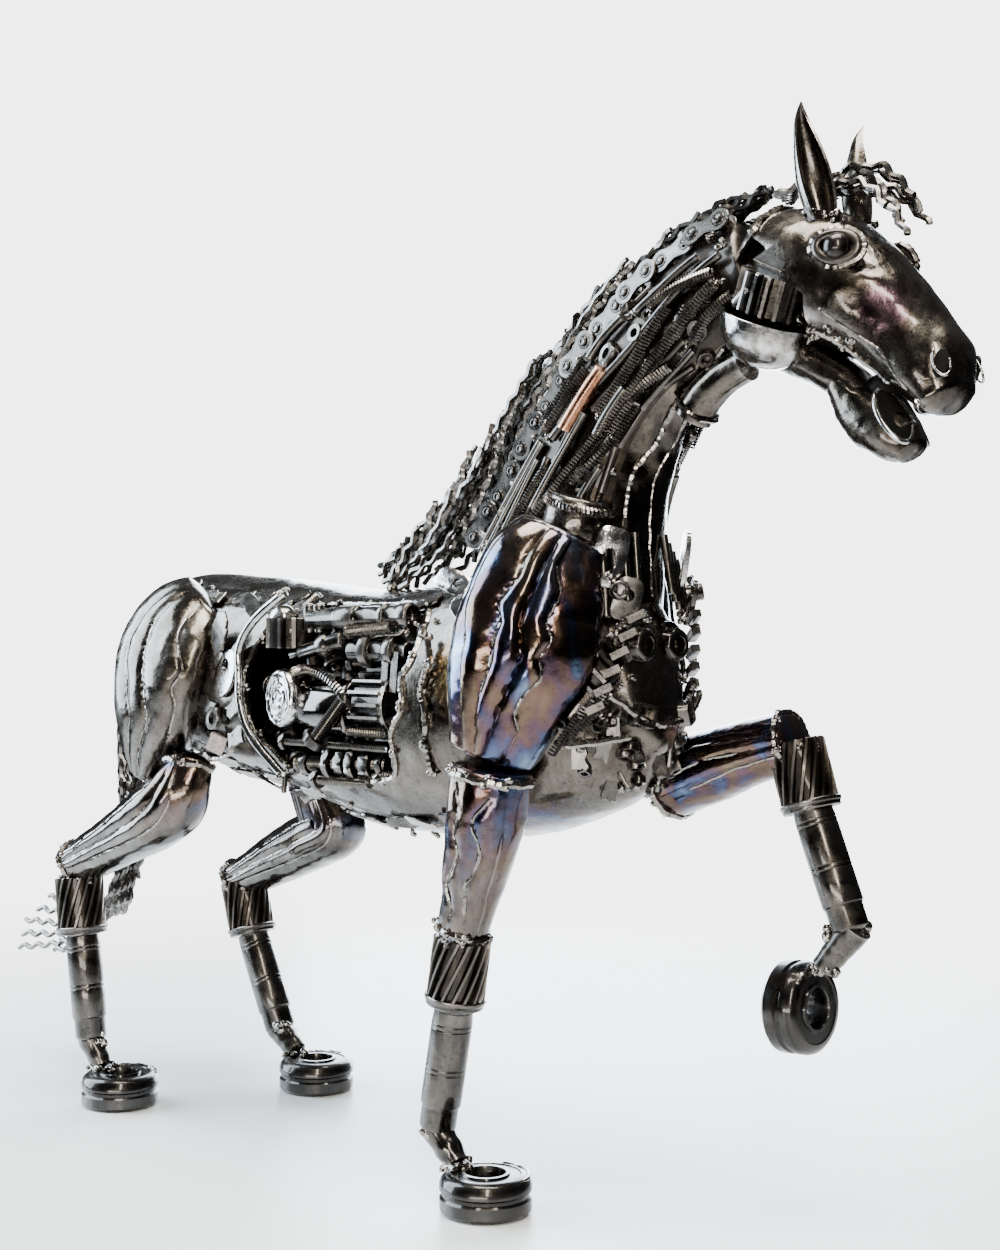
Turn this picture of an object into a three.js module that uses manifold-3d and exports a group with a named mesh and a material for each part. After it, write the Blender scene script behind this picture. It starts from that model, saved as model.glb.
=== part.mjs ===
// A prancing horse welded together from scrap steel: sheet shells for the body, helical pinions for the
// knees and hocks, ring bearings for the hooves, crimped rods for the mane and tail, and machine parts
// let into the flanks and the neck. Millimetres, +X towards the head, +Y to the horse's left, +Z up.
// While it is being made, x = 0 is the middle of the right fore hoof; the last step centres the footprint.
import * as THREE from "three";
import { mergeVertices } from "three/addons/utils/BufferGeometryUtils.js";
import Module from "manifold-3d";

const wasm = await Module();
wasm.setup();

// ---- driving dimensions ------------------------------------------------------------------------------
const GAP = 0.35; // clearance between a piece and the piece it is welded to
const HOOF = { radius: 23.5, bore: 10, height: 20, groove: 1.2 }; // double-row ring bearing, 47 x 20 x 20
const PINION = { teeth: 10, tip: 15, root: 12, length: 31, collar: 16, collarLength: 4.5, twist: 0.75 };
const SHANK = { radius: 10.6, step: 9.6 }; // the pinion's own shaft, turned down near the fetlock
const PASTERN = { radius: 8, end: 6.5 };
const ROD = 2.2; // radius of a crimped mane, forelock or tail rod
const CRIMP = { pitch: 22, depth: 1.9 }; // wave of the crimped rods
const CHAIN = { pitch: 15.9, eye: 6, waist: 3.8, thickness: 2.6, plates: 9 }; // motorcycle drive chain
const CHAIN_LINE = { start: 0.93, step: 0.105, angle: 118 }; // where its plates lie on the neck
const EYE = { ball: 6.4, socket: 10.5 };
const CHEEK = { radius: 24, wall: 3, centre: [146, -19, 439], axis: [0.39, -0.12, 0.91] };
const WINDOW = { radius: 25, from: -20, to: 24 }; // cut through the jaw along the cheek's axis
const WEB = 12; // thickness of the sheet left down the middle of the head
const SHELL_WALL = 8; // of the hollow neck and head
const EAR_SPLAY = 22; // degrees that an ear leans outwards

// ---- making and joining solids ------------------------------------------------------------------------
function solidOf(geometry) {
  const flat = geometry.index ? geometry.toNonIndexed() : geometry;
  const bare = new THREE.BufferGeometry().setAttribute("position", flat.getAttribute("position"));
  const merged = mergeVertices(bare, 1e-3);
  const vertProperties = merged.attributes.position.array;
  const build = (triVerts) => new wasm.Manifold(new wasm.Mesh({ numProp: 3, vertProperties, triVerts }));
  const made = build(new Uint32Array(merged.index.array));
  if (made.volume() > 0) return made;
  return build(new Uint32Array(merged.index.array).reverse()); // turns every face the other way round
}

function geometryOf(solid) {
  const mesh = solid.getMesh();
  const geometry = new THREE.BufferGeometry();
  geometry.setAttribute("position", new THREE.BufferAttribute(new Float32Array(mesh.vertProperties), 3));
  geometry.setIndex(new THREE.BufferAttribute(new Uint32Array(mesh.triVerts), 1));
  geometry.computeVertexNormals();
  return geometry;
}

// A closed body from rings of points, each ring with the same number of points, and a point at either end.
function ringBody(rings, start, end) {
  const sides = rings[0].length;
  const vertices = [...rings.flat(), start, end];
  const faces = [];
  for (let r = 0; r + 1 < rings.length; r++) {
    for (let k = 0; k < sides; k++) {
      const a = r * sides + k;
      const b = r * sides + ((k + 1) % sides);
      faces.push(a, b, a + sides, b, b + sides, a + sides);
    }
  }
  const last = (rings.length - 1) * sides;
  for (let k = 0; k < sides; k++) {
    const next = (k + 1) % sides;
    faces.push(next, k, vertices.length - 2, last + k, last + next, vertices.length - 1);
  }
  const geometry = new THREE.BufferGeometry().setFromPoints(vertices);
  geometry.setIndex(faces);
  return solidOf(geometry);
}

// The solid with a skin round it, every vertex pushed out along its normal, to cut a neighbour back from it.
function grown(solid) {
  const geometry = geometryOf(solid);
  const { position, normal } = geometry.attributes;
  const vertex = new THREE.Vector3();
  const outward = new THREE.Vector3();
  for (let i = 0; i < position.count; i++) {
    outward.fromBufferAttribute(normal, i);
    vertex.fromBufferAttribute(position, i).addScaledVector(outward, GAP);
    position.setXYZ(i, vertex.x, vertex.y, vertex.z);
  }
  return solid.add(solidOf(geometry));
}

function boxesMeet(a, b) {
  const p = a.boundingBox();
  const q = b.boundingBox();
  return [0, 1, 2].every((k) => p.min[k] < q.max[k] + GAP && q.min[k] < p.max[k] + GAP);
}

const largestBody = (solid) => solid.decompose().sort((a, b) => b.volume() - a.volume())[0];
const unionOf = (solids) => solids.reduce((all, one) => all.add(one));
const mirrored = (solid) => solid.mirror([0, 1, 0]);
const vector = (p) => new THREE.Vector3(...p);

// ---- pieces and their colours ---------------------------------------------------------------------------
const steel = (color, roughness) => new THREE.MeshStandardMaterial({ color, roughness, metalness: 1 });
const MATERIALS = {
  shell: steel(0x6b655c, 0.25),
  heated: steel(0x5f6a80, 0.22),
  machine: steel(0x55524d, 0.35),
  bearing: steel(0x1f1e1f, 0.4),
  rod: steel(0x4a4843, 0.35),
  lens: new THREE.MeshStandardMaterial({ color: 0xc9d0d8, roughness: 0.15, metalness: 0.6 }),
};

// Every piece is cut back, by the gap, from each piece that was added before it.
const pieces = new Map();
function add(name, finish, solid) {
  let cut = solid;
  for (const { solid: earlier } of pieces.values()) {
    if (boxesMeet(cut, earlier)) cut = cut.subtract(grown(earlier));
  }
  pieces.set(name, { finish, solid: largestBody(cut) });
}

// A piece of the horse's right side and its twin on the left.
function addPair(name, finish, solid) {
  add(`right_${name}`, finish, solid);
  add(`left_${name}`, finish, mirrored(solid));
}

// ---- lofts ----------------------------------------------------------------------------------------------
// A closed body of oval rings strung on a spine that stays in a plane of constant Y, or nearly so. A station
// is [x, y, z, across, above, below]: the ring's centre, its half width along Y and its half heights on the
// two sides of the spine. On a spine that runs forwards, above is up; on one that runs down, it is forwards,
// and on one that runs backwards it is down. Roll turns the rings about the spine, in degrees.
function curve(a, b, c, d, t) {
  const square = (2 * a - 5 * b + 4 * c - d) * t * t;
  const cube = (3 * b - a - 3 * c + d) * t ** 3;
  return (2 * b + (c - a) * t + square + cube) / 2;
}

function stationAt(stations, t) {
  const last = stations.length - 1;
  const place = t * last;
  const i = Math.min(Math.max(Math.floor(place), 0), last - 1);
  const pick = (k) => stations[Math.min(Math.max(k, 0), last)];
  const near = [i - 1, i, i + 1, i + 2].map(pick);
  return stations[0].map((_, n) => curve(...near.map((station) => station[n]), place - i));
}

function frameAt(stations, t, roll = 0) {
  const [x, y, z, across, above, below] = stationAt(stations, t);
  const step = 0.004;
  const ahead = vector(stationAt(stations, Math.min(t + step, 1)).slice(0, 3));
  const behind = vector(stationAt(stations, Math.max(t - step, 0)).slice(0, 3));
  const along = ahead.sub(behind).normalize();
  const up = along.clone().cross(new THREE.Vector3(0, 1, 0)).normalize();
  up.applyAxisAngle(along, THREE.MathUtils.degToRad(roll));
  const side = up.clone().cross(along).normalize();
  return { centre: new THREE.Vector3(x, y, z), across, above, below, along, up, side };
}

// The noses are the lengths of the rounded ends, and relief(t, angle) lifts the surface.
function loft(stations, { sides = 14, steps = 6, noses = [4, 4], roll = 0, relief = () => 0 } = {}) {
  const rows = [[0, -0.75]];
  for (let i = 0; i <= steps; i++) rows.push([i / steps, 0]);
  rows.push([1, 0.75]);
  const rings = rows.map(([t, out]) => {
    const frame = frameAt(stations, t, roll);
    const shrink = Math.sqrt(1 - out * out);
    const centre = frame.centre.addScaledVector(frame.along, out * noses[out < 0 ? 0 : 1]);
    return Array.from({ length: sides }, (_, k) => {
      const angle = (2 * Math.PI * k) / sides;
      const height = Math.sin(angle);
      const point = frame.side.clone().multiplyScalar(Math.cos(angle) * frame.across);
      point.addScaledVector(frame.up, height * (height > 0 ? frame.above : frame.below));
      point.setLength(point.length() + relief(t, angle));
      return point.multiplyScalar(shrink).add(centre);
    });
  });
  const first = frameAt(stations, 0);
  const last = frameAt(stations, 1);
  const start = first.centre.addScaledVector(first.along, -noses[0]);
  return ringBody(rings, start, last.centre.addScaledVector(last.along, noses[1]));
}

// Rounded ridges along a loft: each is [angle in degrees, height, width in degrees, from t, to t].
const ridges = (list) => (t, angle) =>
  list.reduce((sum, [at, height, width, from, to]) => {
    const turn = THREE.MathUtils.euclideanModulo(THREE.MathUtils.radToDeg(angle) - at + 180, 360) - 180;
    const share = THREE.MathUtils.clamp((t - from) / (to - from), 0, 1);
    return sum + height * Math.exp(-((turn / width) ** 2)) * Math.sin(Math.PI * share) ** 0.7;
  }, 0);

// A point on a loft's surface, lifted off it, with the frame that it was found in.
function onLoft(stations, t, degrees, lift = 0) {
  const frame = frameAt(stations, t);
  const angle = THREE.MathUtils.degToRad(degrees);
  const point = frame.side.clone().multiplyScalar(Math.cos(angle) * frame.across);
  const height = Math.sin(angle);
  point.addScaledVector(frame.up, height * (height > 0 ? frame.above : frame.below));
  const outward = point.clone().normalize();
  return { point: point.add(frame.centre).addScaledVector(outward, lift), outward, along: frame.along };
}

// ---- turned, swept and toothed pieces -------------------------------------------------------------------
// Stands a shape that was made along +Z between two points.
function between(solid, from, to) {
  const axis = vector(to).sub(vector(from)).normalize();
  const turn = new THREE.Quaternion().setFromUnitVectors(new THREE.Vector3(0, 0, 1), axis);
  const place = new THREE.Matrix4().compose(vector(from), turn, new THREE.Vector3(1, 1, 1));
  return solid.transform(place.elements);
}

// A turned piece along +Z: the profile is [radius, height] pairs that start and end on the axis, or close.
function turned(profile, sides = 10) {
  const points = profile.map(([r, z]) => new THREE.Vector2(r, z));
  return solidOf(new THREE.LatheGeometry(points, sides).rotateX(Math.PI / 2));
}

function bar(from, to, radius, { sides = 8, endRadius = radius } = {}) {
  const length = vector(from).distanceTo(vector(to));
  return between(turned([[0, 0], [radius, 0], [endRadius, length], [0, length]], sides), from, to);
}

function ball(centre, radius, squash = [1, 1, 1]) {
  const geometry = new THREE.SphereGeometry(radius, 7, 5).scale(...squash).translate(...centre);
  return solidOf(geometry);
}

// A rod through a list of points, with a few flat sides.
function rod(points, radius, sides = 4) {
  const path = points.map(vector);
  const up = new THREE.Vector3(0.1, 1, 0.2).normalize();
  const rings = path.map((point, i) => {
    const along = path[Math.min(i + 1, path.length - 1)].clone().sub(path[Math.max(i - 1, 0)]).normalize();
    const side = along.clone().cross(up).normalize();
    up.copy(side).cross(along).normalize();
    return Array.from({ length: sides }, (_, k) => {
      const angle = (2 * Math.PI * k) / sides;
      const spoke = side.clone().multiplyScalar(radius * Math.cos(angle));
      return spoke.addScaledVector(up, radius * Math.sin(angle)).add(point);
    });
  });
  return ringBody(rings, path[0], path[path.length - 1]);
}

// A toothed wheel along +Z. Twist is how far, in radians, the teeth wind over the length.
function gear({ teeth, tip, root, length, twist = 0, sharp = false }) {
  const tooth = sharp ? [[0, root], [0.5, tip]] : [[0, root], [0.25, tip], [0.5, tip], [0.75, root]];
  const outline = [];
  for (let k = 0; k < teeth; k++) {
    for (const [share, radius] of tooth) {
      outline.push([((k + share) / teeth) * 2 * Math.PI, radius]);
    }
  }
  const rings = [0, 1].map((end) =>
    outline.map(([a, r]) => {
      const angle = a + twist * end;
      return new THREE.Vector3(r * Math.cos(angle), r * Math.sin(angle), length * end);
    }),
  );
  return ringBody(rings, new THREE.Vector3(0, 0, 0), new THREE.Vector3(0, 0, length));
}

// ---- body shells ----------------------------------------------------------------------------------------
const TORSO = [
  [-332, 0, 264, 18, 34, 26],
  [-314, 0, 266, 38, 52, 46],
  [-284, 0, 268, 53, 59, 53],
  [-245, 0, 267, 60, 58, 57],
  [-200, 0, 262, 62, 60, 62],
  [-150, 0, 255, 64, 62, 64],
  [-95, 0, 249, 67, 67, 68],
  [-40, 0, 252, 66, 72, 71],
  [8, 0, 262, 58, 74, 68],
  [40, 0, 272, 44, 62, 60],
  [58, 0, 276, 26, 46, 46],
];
const CHEST_HOLLOW = [
  [0, 0, 216, 27, 28, 28],
  [6, 0, 270, 30, 34, 34],
  [12, 0, 320, 30, 34, 34],
];
const NECK = [
  [12, 0, 318, 44, 60, 50],
  [35, 0, 372, 34, 47, 31],
  [62, 0, 413, 28, 42, 24],
  [98, 0, 446, 25, 37, 32],
  [132, 0, 462, 25, 32, 30],
];
const HEAD = [
  [134, 0, 470, 26, 24, 24],
  [158, 0, 462, 33, 30, 30],
  [180, 0, 447, 31, 29, 27],
  [198, 0, 432, 25, 25, 20],
  [212, 0, 418, 22, 22, 17],
  [220, 0, 407, 20, 20, 15],
  [226, 0, 397, 17, 14, 10],
];
const LOWER_JAW = [
  [143, 0, 432, 17, 10, 16],
  [162, 0, 419, 16, 9, 12],
  [179, 0, 408, 14, 8, 10],
  [190, 0, 395, 13, 7, 9],
  [200, 0, 384, 13, 7, 9],
  [207, 0, 381, 11, 6, 6],
];
const EAR = [
  [0, 0, 0, 6, 6, 6],
  [-3, 0, 12, 7, 9, 8],
  [-4, 0, 24, 6, 10, 9],
  [-5, 0, 36, 5, 7, 7],
  [-6, 0, 46, 3, 4, 4],
  [-6, 0, 51, 1, 1, 1],
];
const HAUNCH = [
  [-242, -43, 312, 10, 26, 26],
  [-250, -49, 301, 16, 40, 40],
  [-258, -53, 287, 20, 47, 47],
  [-264, -55, 270, 23, 48, 48],
  [-268, -55, 245, 22, 40, 40],
  [-273, -53, 222, 18, 25, 25],
  [-278, -52, 206, 13, 13, 13],
];
const HAUNCH_BULGES = [
  [200, 4, 14, 0, 1],
  [235, 4, 14, 0, 1],
  [270, 3, 12, 0, 1],
];
const SHOULDER = [
  [38, -42, 340, 12, 24, 24],
  [32, -49, 323, 19, 32, 32],
  [27, -52, 304, 23, 36, 36],
  [24, -54, 286, 25, 38, 38],
  [17, -56, 268, 24, 35, 35],
  [10, -57, 246, 21, 28, 28],
  [5, -58, 232, 19, 23, 23],
];
const SHOULDER_BULGES = [
  [165, 4, 12, 0, 1],
  [195, 4, 11, 0, 1],
  [225, 4, 11, 0, 1],
];

// The opening in a flank, from the rib round behind the machine parts to the ragged plate edge in front.
function flankOpening() {
  const outline = new THREE.Shape(
    [
      [-150, 214], [-174, 236], [-181, 260], [-176, 284], [-158, 308],
      [-54, 306], [-47, 281], [-50, 254], [-64, 216], [-116, 210],
    ].map(([x, z]) => new THREE.Vector2(x, z)),
  );
  const box = new THREE.ExtrudeGeometry(outline, { depth: 60, bevelEnabled: false });
  return solidOf(box.rotateX(Math.PI / 2).translate(0, -36, 0));
}

function torso() {
  const body = loft(TORSO, { sides: 16, steps: 8, noses: [6, 10] });
  const opening = flankOpening();
  const chest = loft(CHEST_HOLLOW, { sides: 8, steps: 1, noses: [6, 40] });
  return body.subtract(opening).subtract(mirrored(opening)).subtract(chest);
}

// The same stations a wall's thickness further in, for the hollow inside a shell.
const inside = (stations, wall) =>
  stations.map(([x, y, z, ...reach]) => [x, y, z, ...reach.map((r) => r - wall)]);

function neck() {
  const hollow = loft(inside(NECK, SHELL_WALL), { sides: 6, steps: 2, noses: [40, -22] });
  return loft(NECK, { sides: 12, steps: 4 }).subtract(hollow);
}

// A point on the axis that the right cheek and its gear are turned about.
const cheekPoint = (along) => CHEEK.centre.map((v, n) => v + along * CHEEK.axis[n]);

// The middle of the head, to keep the two sides' openings and parts apart.
const middleSheet = (thickness) => solidOf(new THREE.BoxGeometry(200, thickness, 200).translate(146, 0, 440));

function head() {
  const hollow = loft(inside(HEAD.slice(0, 5), SHELL_WALL), { sides: 6, steps: 2, noses: [30, 4] });
  const skull = loft(HEAD, { sides: 12, steps: 7, noses: [8, 4] }).subtract(hollow);
  const cuts = [
    bar(cheekPoint(WINDOW.from), cheekPoint(WINDOW.to), WINDOW.radius, { sides: 12 }),
    ball([189, -37, 468], EYE.socket, [1.2, 1, 1]),
    ball([243, -15, 417], 5, [1, 1, 1.6]),
  ];
  const cut = unionOf(cuts).subtract(middleSheet(WEB));
  return skull.subtract(cut).subtract(mirrored(cut));
}

function ear() {
  const leaf = loft(EAR, { sides: 7, steps: 4, noses: [2, 1] });
  const hollow = loft(EAR.map((s, i) => [s[0] + 5, s[1] - 3, s[2] + i, s[3] * 0.8, s[4] * 0.75, s[5]]), {
    sides: 5, steps: 3, noses: [0.5, 0.5],
  });
  return leaf.subtract(hollow).rotate([EAR_SPLAY, 0, 0]).translate([175, -17, 485]);
}

add("torso", "shell", torso());
addPair("haunch", "shell", loft(HAUNCH, { sides: 12, steps: 4, roll: 20, relief: ridges(HAUNCH_BULGES) }));
const shoulder = loft(SHOULDER, { sides: 12, steps: 4, roll: -24, relief: ridges(SHOULDER_BULGES) });
add("right_shoulder", "heated", shoulder);
add("left_shoulder", "heated", mirrored(shoulder).translate([-20, -7, 0]));
add("neck", "shell", neck());
add("head", "shell", head());
add("lower_jaw", "shell", loft(LOWER_JAW, { sides: 8, steps: 5, noses: [6, 6] }));
addPair("ear", "shell", ear());

// ---- legs -----------------------------------------------------------------------------------------------
const FOREARM = [
  [8, -60, 222, 20, 21, 22],
  [3, -60, 196, 18.5, 20, 20],
  [-6, -59, 166, 15, 16, 16],
  [-14, -59, 141, 13, 13.5, 13.5],
];
const RIGHT_GASKIN = [
  [-244, -58, 196, 18, 18, 20],
  [-260, -59, 184, 20, 20, 22],
  [-303, -57, 165, 17, 17, 17],
  [-335, -55, 152, 14, 15, 15],
  [-352, -55, 146, 13, 13, 13],
];
const LEFT_GASKIN = [
  [-228, 56, 170, 17, 17, 18],
  [-250, 57, 160, 19, 19, 19],
  [-286, 57, 144, 17, 17, 17],
  [-312, 56, 132, 14, 14, 14],
  [-326, 55, 126, 13, 13, 13],
];
const LEFT_FOREARM = [
  [32, 55, 212, 21, 22, 20],
  [56, 56, 220, 19, 20, 19],
  [84, 57, 230, 17, 17, 17],
  [108, 57, 237, 15, 15, 16],
];
// Each leg: its upper shell, then the line of its pinion, shank and pastern, and its hoof's sole and axis.
const LEGS = {
  right_fore: {
    upper: ["right_forearm", FOREARM],
    pinion: [[-14, -59, 137], [-20, -59, 100]],
    fetlock: [-33, -58, 36],
    heel: [-19, -58, 21],
    hoof: [0, -57, 0],
    axis: [0, 0, 1],
  },
  right_hind: {
    upper: ["right_gaskin", RIGHT_GASKIN],
    pinion: [[-350, -55, 137], [-346, -55, 101]],
    fetlock: [-338, -54, 36],
    heel: [-328, -53, 21],
    hoof: [-311, -52, 0],
    axis: [0, 0, 1],
  },
  left_hind: {
    upper: ["left_gaskin", LEFT_GASKIN],
    stifle: [[-252, 50, 216], [-243, 56, 170]],
    pinion: [[-321, 55, 126], [-311, 55, 92]],
    fetlock: [-283, 55, 32],
    heel: [-268, 55, 21],
    hoof: [-249, 55, 0],
    axis: [0, 0, 1],
  },
  left_fore: {
    upper: ["left_forearm", LEFT_FOREARM],
    pinion: [[110, 57, 236], [120, 57, 203]],
    fetlock: [144, 56, 143],
    heel: [129, 54, 124],
    hoof: [107, 52, 102],
    axis: [1, 0, 0.05],
  },
};

function hoofRing() {
  const { radius, bore, height, groove } = HOOF;
  const profile = [
    [bore, 0], [radius - 1.5, 0], [radius, 2], [radius - groove, 10],
    [radius, 12], [radius - 3, height], [bore, height], [bore, 0],
  ];
  return turned(profile, 11);
}

function pinion() {
  const { teeth, tip, root, length, collar, collarLength, twist } = PINION;
  const wheel = gear({ teeth, tip, root, length, twist, sharp: true });
  const end = length + collarLength;
  return wheel.add(turned([[0, length - 0.5], [collar, length - 0.5], [collar, end], [0, end]], 9));
}

for (const [name, leg] of Object.entries(LEGS)) {
  const [upperName, stations] = leg.upper;
  const upper = loft(stations, { sides: 10, steps: 4, noses: [5, 4] });
  add(upperName, "heated", leg.stifle ? upper.add(bar(...leg.stifle, 17, { endRadius: 15 })) : upper);
  const [top, bottom] = leg.pinion;
  const shaftPoint = (share) => bottom.map((v, n) => v + (leg.fetlock[n] - v) * share);
  const joint = name.endsWith("fore") ? "knee" : "hock";
  add(`${name}_${joint}_pinion`, "machine", between(pinion(), top, bottom));
  const shaft = bar(bottom, shaftPoint(0.8), SHANK.radius);
  add(`${name}_shank`, "machine", shaft.add(bar(shaftPoint(0.75), shaftPoint(1), SHANK.step)));
  const sole = leg.hoof;
  add(`${name}_hoof`, "bearing", between(hoofRing(), sole, sole.map((v, n) => v + leg.axis[n])));
  const pastern = bar(shaftPoint(0.93), leg.heel, PASTERN.radius, { endRadius: PASTERN.end });
  add(`${name}_pastern`, "machine", pastern);
}

// ---- head fittings --------------------------------------------------------------------------------------
// A half ball, open above, that makes the round of the jaw, with a gear standing in it.
function cheek() {
  const { radius, wall } = CHEEK;
  const profile = [[0, -radius]];
  for (let k = 1; k <= 4; k++) {
    const angle = (k * Math.PI) / 8;
    profile.push([radius * Math.sin(angle), -radius * Math.cos(angle)]);
  }
  for (let k = 1; k >= 0; k--) {
    const angle = (k * Math.PI) / 2;
    profile.push([(radius - wall) * Math.sin(angle), -(radius - wall) * Math.cos(angle)]);
  }
  return between(turned(profile, 10), cheekPoint(0), cheekPoint(1));
}

function jawGear() {
  const wheel = gear({ teeth: 10, tip: 19.5, root: 16, length: 17 });
  return between(wheel, cheekPoint(3), cheekPoint(4));
}

addPair("cheek", "machine", cheek().subtract(middleSheet(WEB + 2 * GAP)));
addPair("jaw_gear", "machine", jawGear().subtract(middleSheet(WEB + 2 * GAP)));
addPair("eye", "bearing", ball([187, -27.5, 466], EYE.ball));

// ---- neck and chest fittings ----------------------------------------------------------------------------
// One side plate of a roller chain along +X: two eyes with a waist between them, its thickness along +Z.
function chainPlate() {
  const { pitch, eye, waist, thickness } = CHAIN;
  const outline = [
    [-eye, 0], [0, eye], [pitch / 2, waist], [pitch, eye],
    [pitch + eye, 0], [pitch, -eye], [pitch / 2, -waist], [0, -eye],
  ];
  const plate = new THREE.Shape(outline.map(([x, y]) => new THREE.Vector2(x, y)));
  return solidOf(new THREE.ExtrudeGeometry(plate, { depth: thickness, bevelEnabled: false }));
}

// The chain lies along the neck below the crest, its plates end over end from the poll to the withers.
function chain() {
  const plates = Array.from({ length: CHAIN.plates }, (_, k) => {
    const [here, next] = [k, k + 1].map((n) =>
      onLoft(NECK, CHAIN_LINE.start - n * CHAIN_LINE.step, CHAIN_LINE.angle, 0.3 + (k % 2) * 1.2),
    );
    const along = next.point.clone().sub(here.point).normalize();
    const across = here.outward.clone().cross(along).normalize();
    const place = new THREE.Matrix4().makeBasis(along, across, along.clone().cross(across));
    return chainPlate().transform(place.setPosition(here.point).elements);
  });
  return unionOf(plates);
}

// Springs and bolts that lie along the side of the neck: [radius, [t, degrees], [t, degrees]].
const NECK_RODS = [
  [3.6, [0.94, 158], [0.2, 163]],
  [3.2, [0.62, 138], [0.16, 140]],
  [4, [0.6, 192], [0.3, 196]],
];

function neckRods() {
  const rods = NECK_RODS.map(([radius, ...ends]) => {
    const middle = [0, 1].map((n) => (ends[0][n] + ends[1][n]) / 2);
    const points = [ends[0], middle, ends[1]].map(([t, degrees]) => onLoft(NECK, t, degrees, radius + GAP));
    return rod(points.map(({ point }) => point.toArray()), radius);
  });
  const brace = [136, 166, 197].map((degrees) => onLoft(NECK, 0.42, degrees, 3.5).point.toArray());
  return unionOf([...rods, rod(brace, 2.5)]);
}

addPair("chain", "machine", chain());
addPair("neck_springs", "machine", neckRods());
add("right_neck_cup", "machine", bar([36, -30, 340], [42, -31, 361], 18, { endRadius: 16 }));
const chestGear = gear({ teeth: 10, tip: 19, root: 15.5, length: 16 });
add("right_chest_gear", "machine", between(chestGear, [42, -30, 281], [46, -26, 275]));
addPair("chest_hub", "machine", bar([44, -14, 286], [69, -13, 286], 10, { sides: 10, endRadius: 8 }));

// ---- machine parts in the flanks ------------------------------------------------------------------------
const turnedX = (profile, sides, [x, y, z]) => between(turned(profile, sides), [x, y, z], [x + 1, y, z]);
const tube = [[0, 0], [6, 0], [6, 8], [7.2, 8], [7.2, 34], [6, 36], [6, 80], [0, 80]];
const drum = [[0, 0], [16.5, 0], [16.5, 34], [18.5, 34], [18.5, 39], [0, 39]];
const smallBolt = [[0, 0], [5.4, 0], [5.4, 22], [9.5, 22], [9.5, 30], [6.5, 30], [6.5, 44], [0, 44]];
const bigBolt = [
  [0, 0], [4.6, 0], [4.6, 24], [9.5, 24], [9.5, 45], [6.5, 45], [6.5, 55], [4.6, 55], [4.6, 72], [0, 72],
];
const lensProfile = [[0, 0], [16.5, 0], [16.5, 4], [12, 7], [0, 8]];
const rib = [
  [-149, -60, 314], [-170, -64, 299], [-182, -65, 272], [-181, -65, 250], [-173, -63, 232], [-153, -58, 212],
];
const flankGear = gear({ teeth: 11, tip: 20, root: 16.5, length: 23 });
const flankTeeth = gear({ teeth: 8, tip: 17, root: 13, length: 17 });
addPair("flank_lens", "lens", between(turned(lensProfile, 10), [-151, -55, 255], [-153, -62, 255]));
addPair("flank_drum", "machine", turnedX(drum, 12, [-138, -45, 250]));
add("right_flank_gear", "machine", between(flankGear, [-95, -45, 253], [-94, -45, 253]));
add("right_flank_tube", "machine", turnedX(tube, 8, [-137, -51, 299]));
add("right_flank_bolt", "machine", turnedX(smallBolt, 8, [-103, -52, 282]));
add("right_flank_big_bolt", "machine", turnedX(bigBolt, 6, [-146, -52, 219]));
add("right_flank_teeth", "machine", flankTeeth.translate([-155, -46, 283]));
addPair("flank_rib", "machine", rod(rib, 2.6));

// ---- crimped rods: mane, forelock and tail ---------------------------------------------------------------
// The dense inside of the mane, from the poll down to the rods that lie along the back.
const MANE_BODY = [
  [136, 0, 500, 7, 5, 5],
  [108, 0, 494, 8, 8, 8],
  [74, 0, 480, 9, 12, 10],
  [40, 0, 461, 10, 14, 11],
  [10, 0, 438, 10, 17, 12],
  [-22, 0, 408, 10, 20, 13],
  [-48, 0, 380, 10, 20, 14],
  [-80, 0, 353, 9, 17, 11],
  [-110, 0, 336, 7, 9, 6],
];
const MANE_LENGTH = 300;
const MANE_TIPS = 7;

// A rod along a path, crimped in the plane of constant Y, with a point for each half wave.
function crimped(path, length, phase = 0) {
  const steps = Math.max(Math.round(length / (CRIMP.pitch / 2)), 2);
  const points = Array.from({ length: steps + 1 }, (_, k) => {
    const t = k / steps;
    const along = vector(path(Math.min(t + 0.01, 1))).sub(vector(path(Math.max(t - 0.01, 0)))).normalize();
    const up = along.cross(new THREE.Vector3(0, 1, 0));
    return vector(path(t)).addScaledVector(up, CRIMP.depth * ((k + phase) % 2 ? 1 : -1)).toArray();
  });
  return rod(points, ROD, 3);
}

// A free end of the mane: it leaves the body at a share of its length and runs on, a little outwards.
function maneTip(k) {
  const share = 0.14 + (0.86 * k) / (MANE_TIPS - 1);
  const [x, , z, , above] = stationAt(MANE_BODY, share);
  const { along, up } = frameAt(MANE_BODY, Math.min(share, 0.97));
  const reach = 34 + 26 * share + 8 * (k % 2);
  const height = 0.5 * above * (1 - share) + 4;
  const side = 6 * ((k % 3) - 1);
  const path = (t) => [
    x + along.x * reach * t - up.x * height,
    side,
    z + along.z * reach * t - up.z * height,
  ];
  return crimped(path, reach, k);
}

function mane() {
  const waves = (t, angle) => 1.2 * Math.sin((t * MANE_LENGTH * 2 * Math.PI) / 40 + 3 * angle);
  const body = loft(MANE_BODY, { sides: 7, steps: 8, relief: waves });
  return unionOf([body, ...Array.from({ length: MANE_TIPS }, (_, k) => maneTip(k))]);
}

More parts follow.
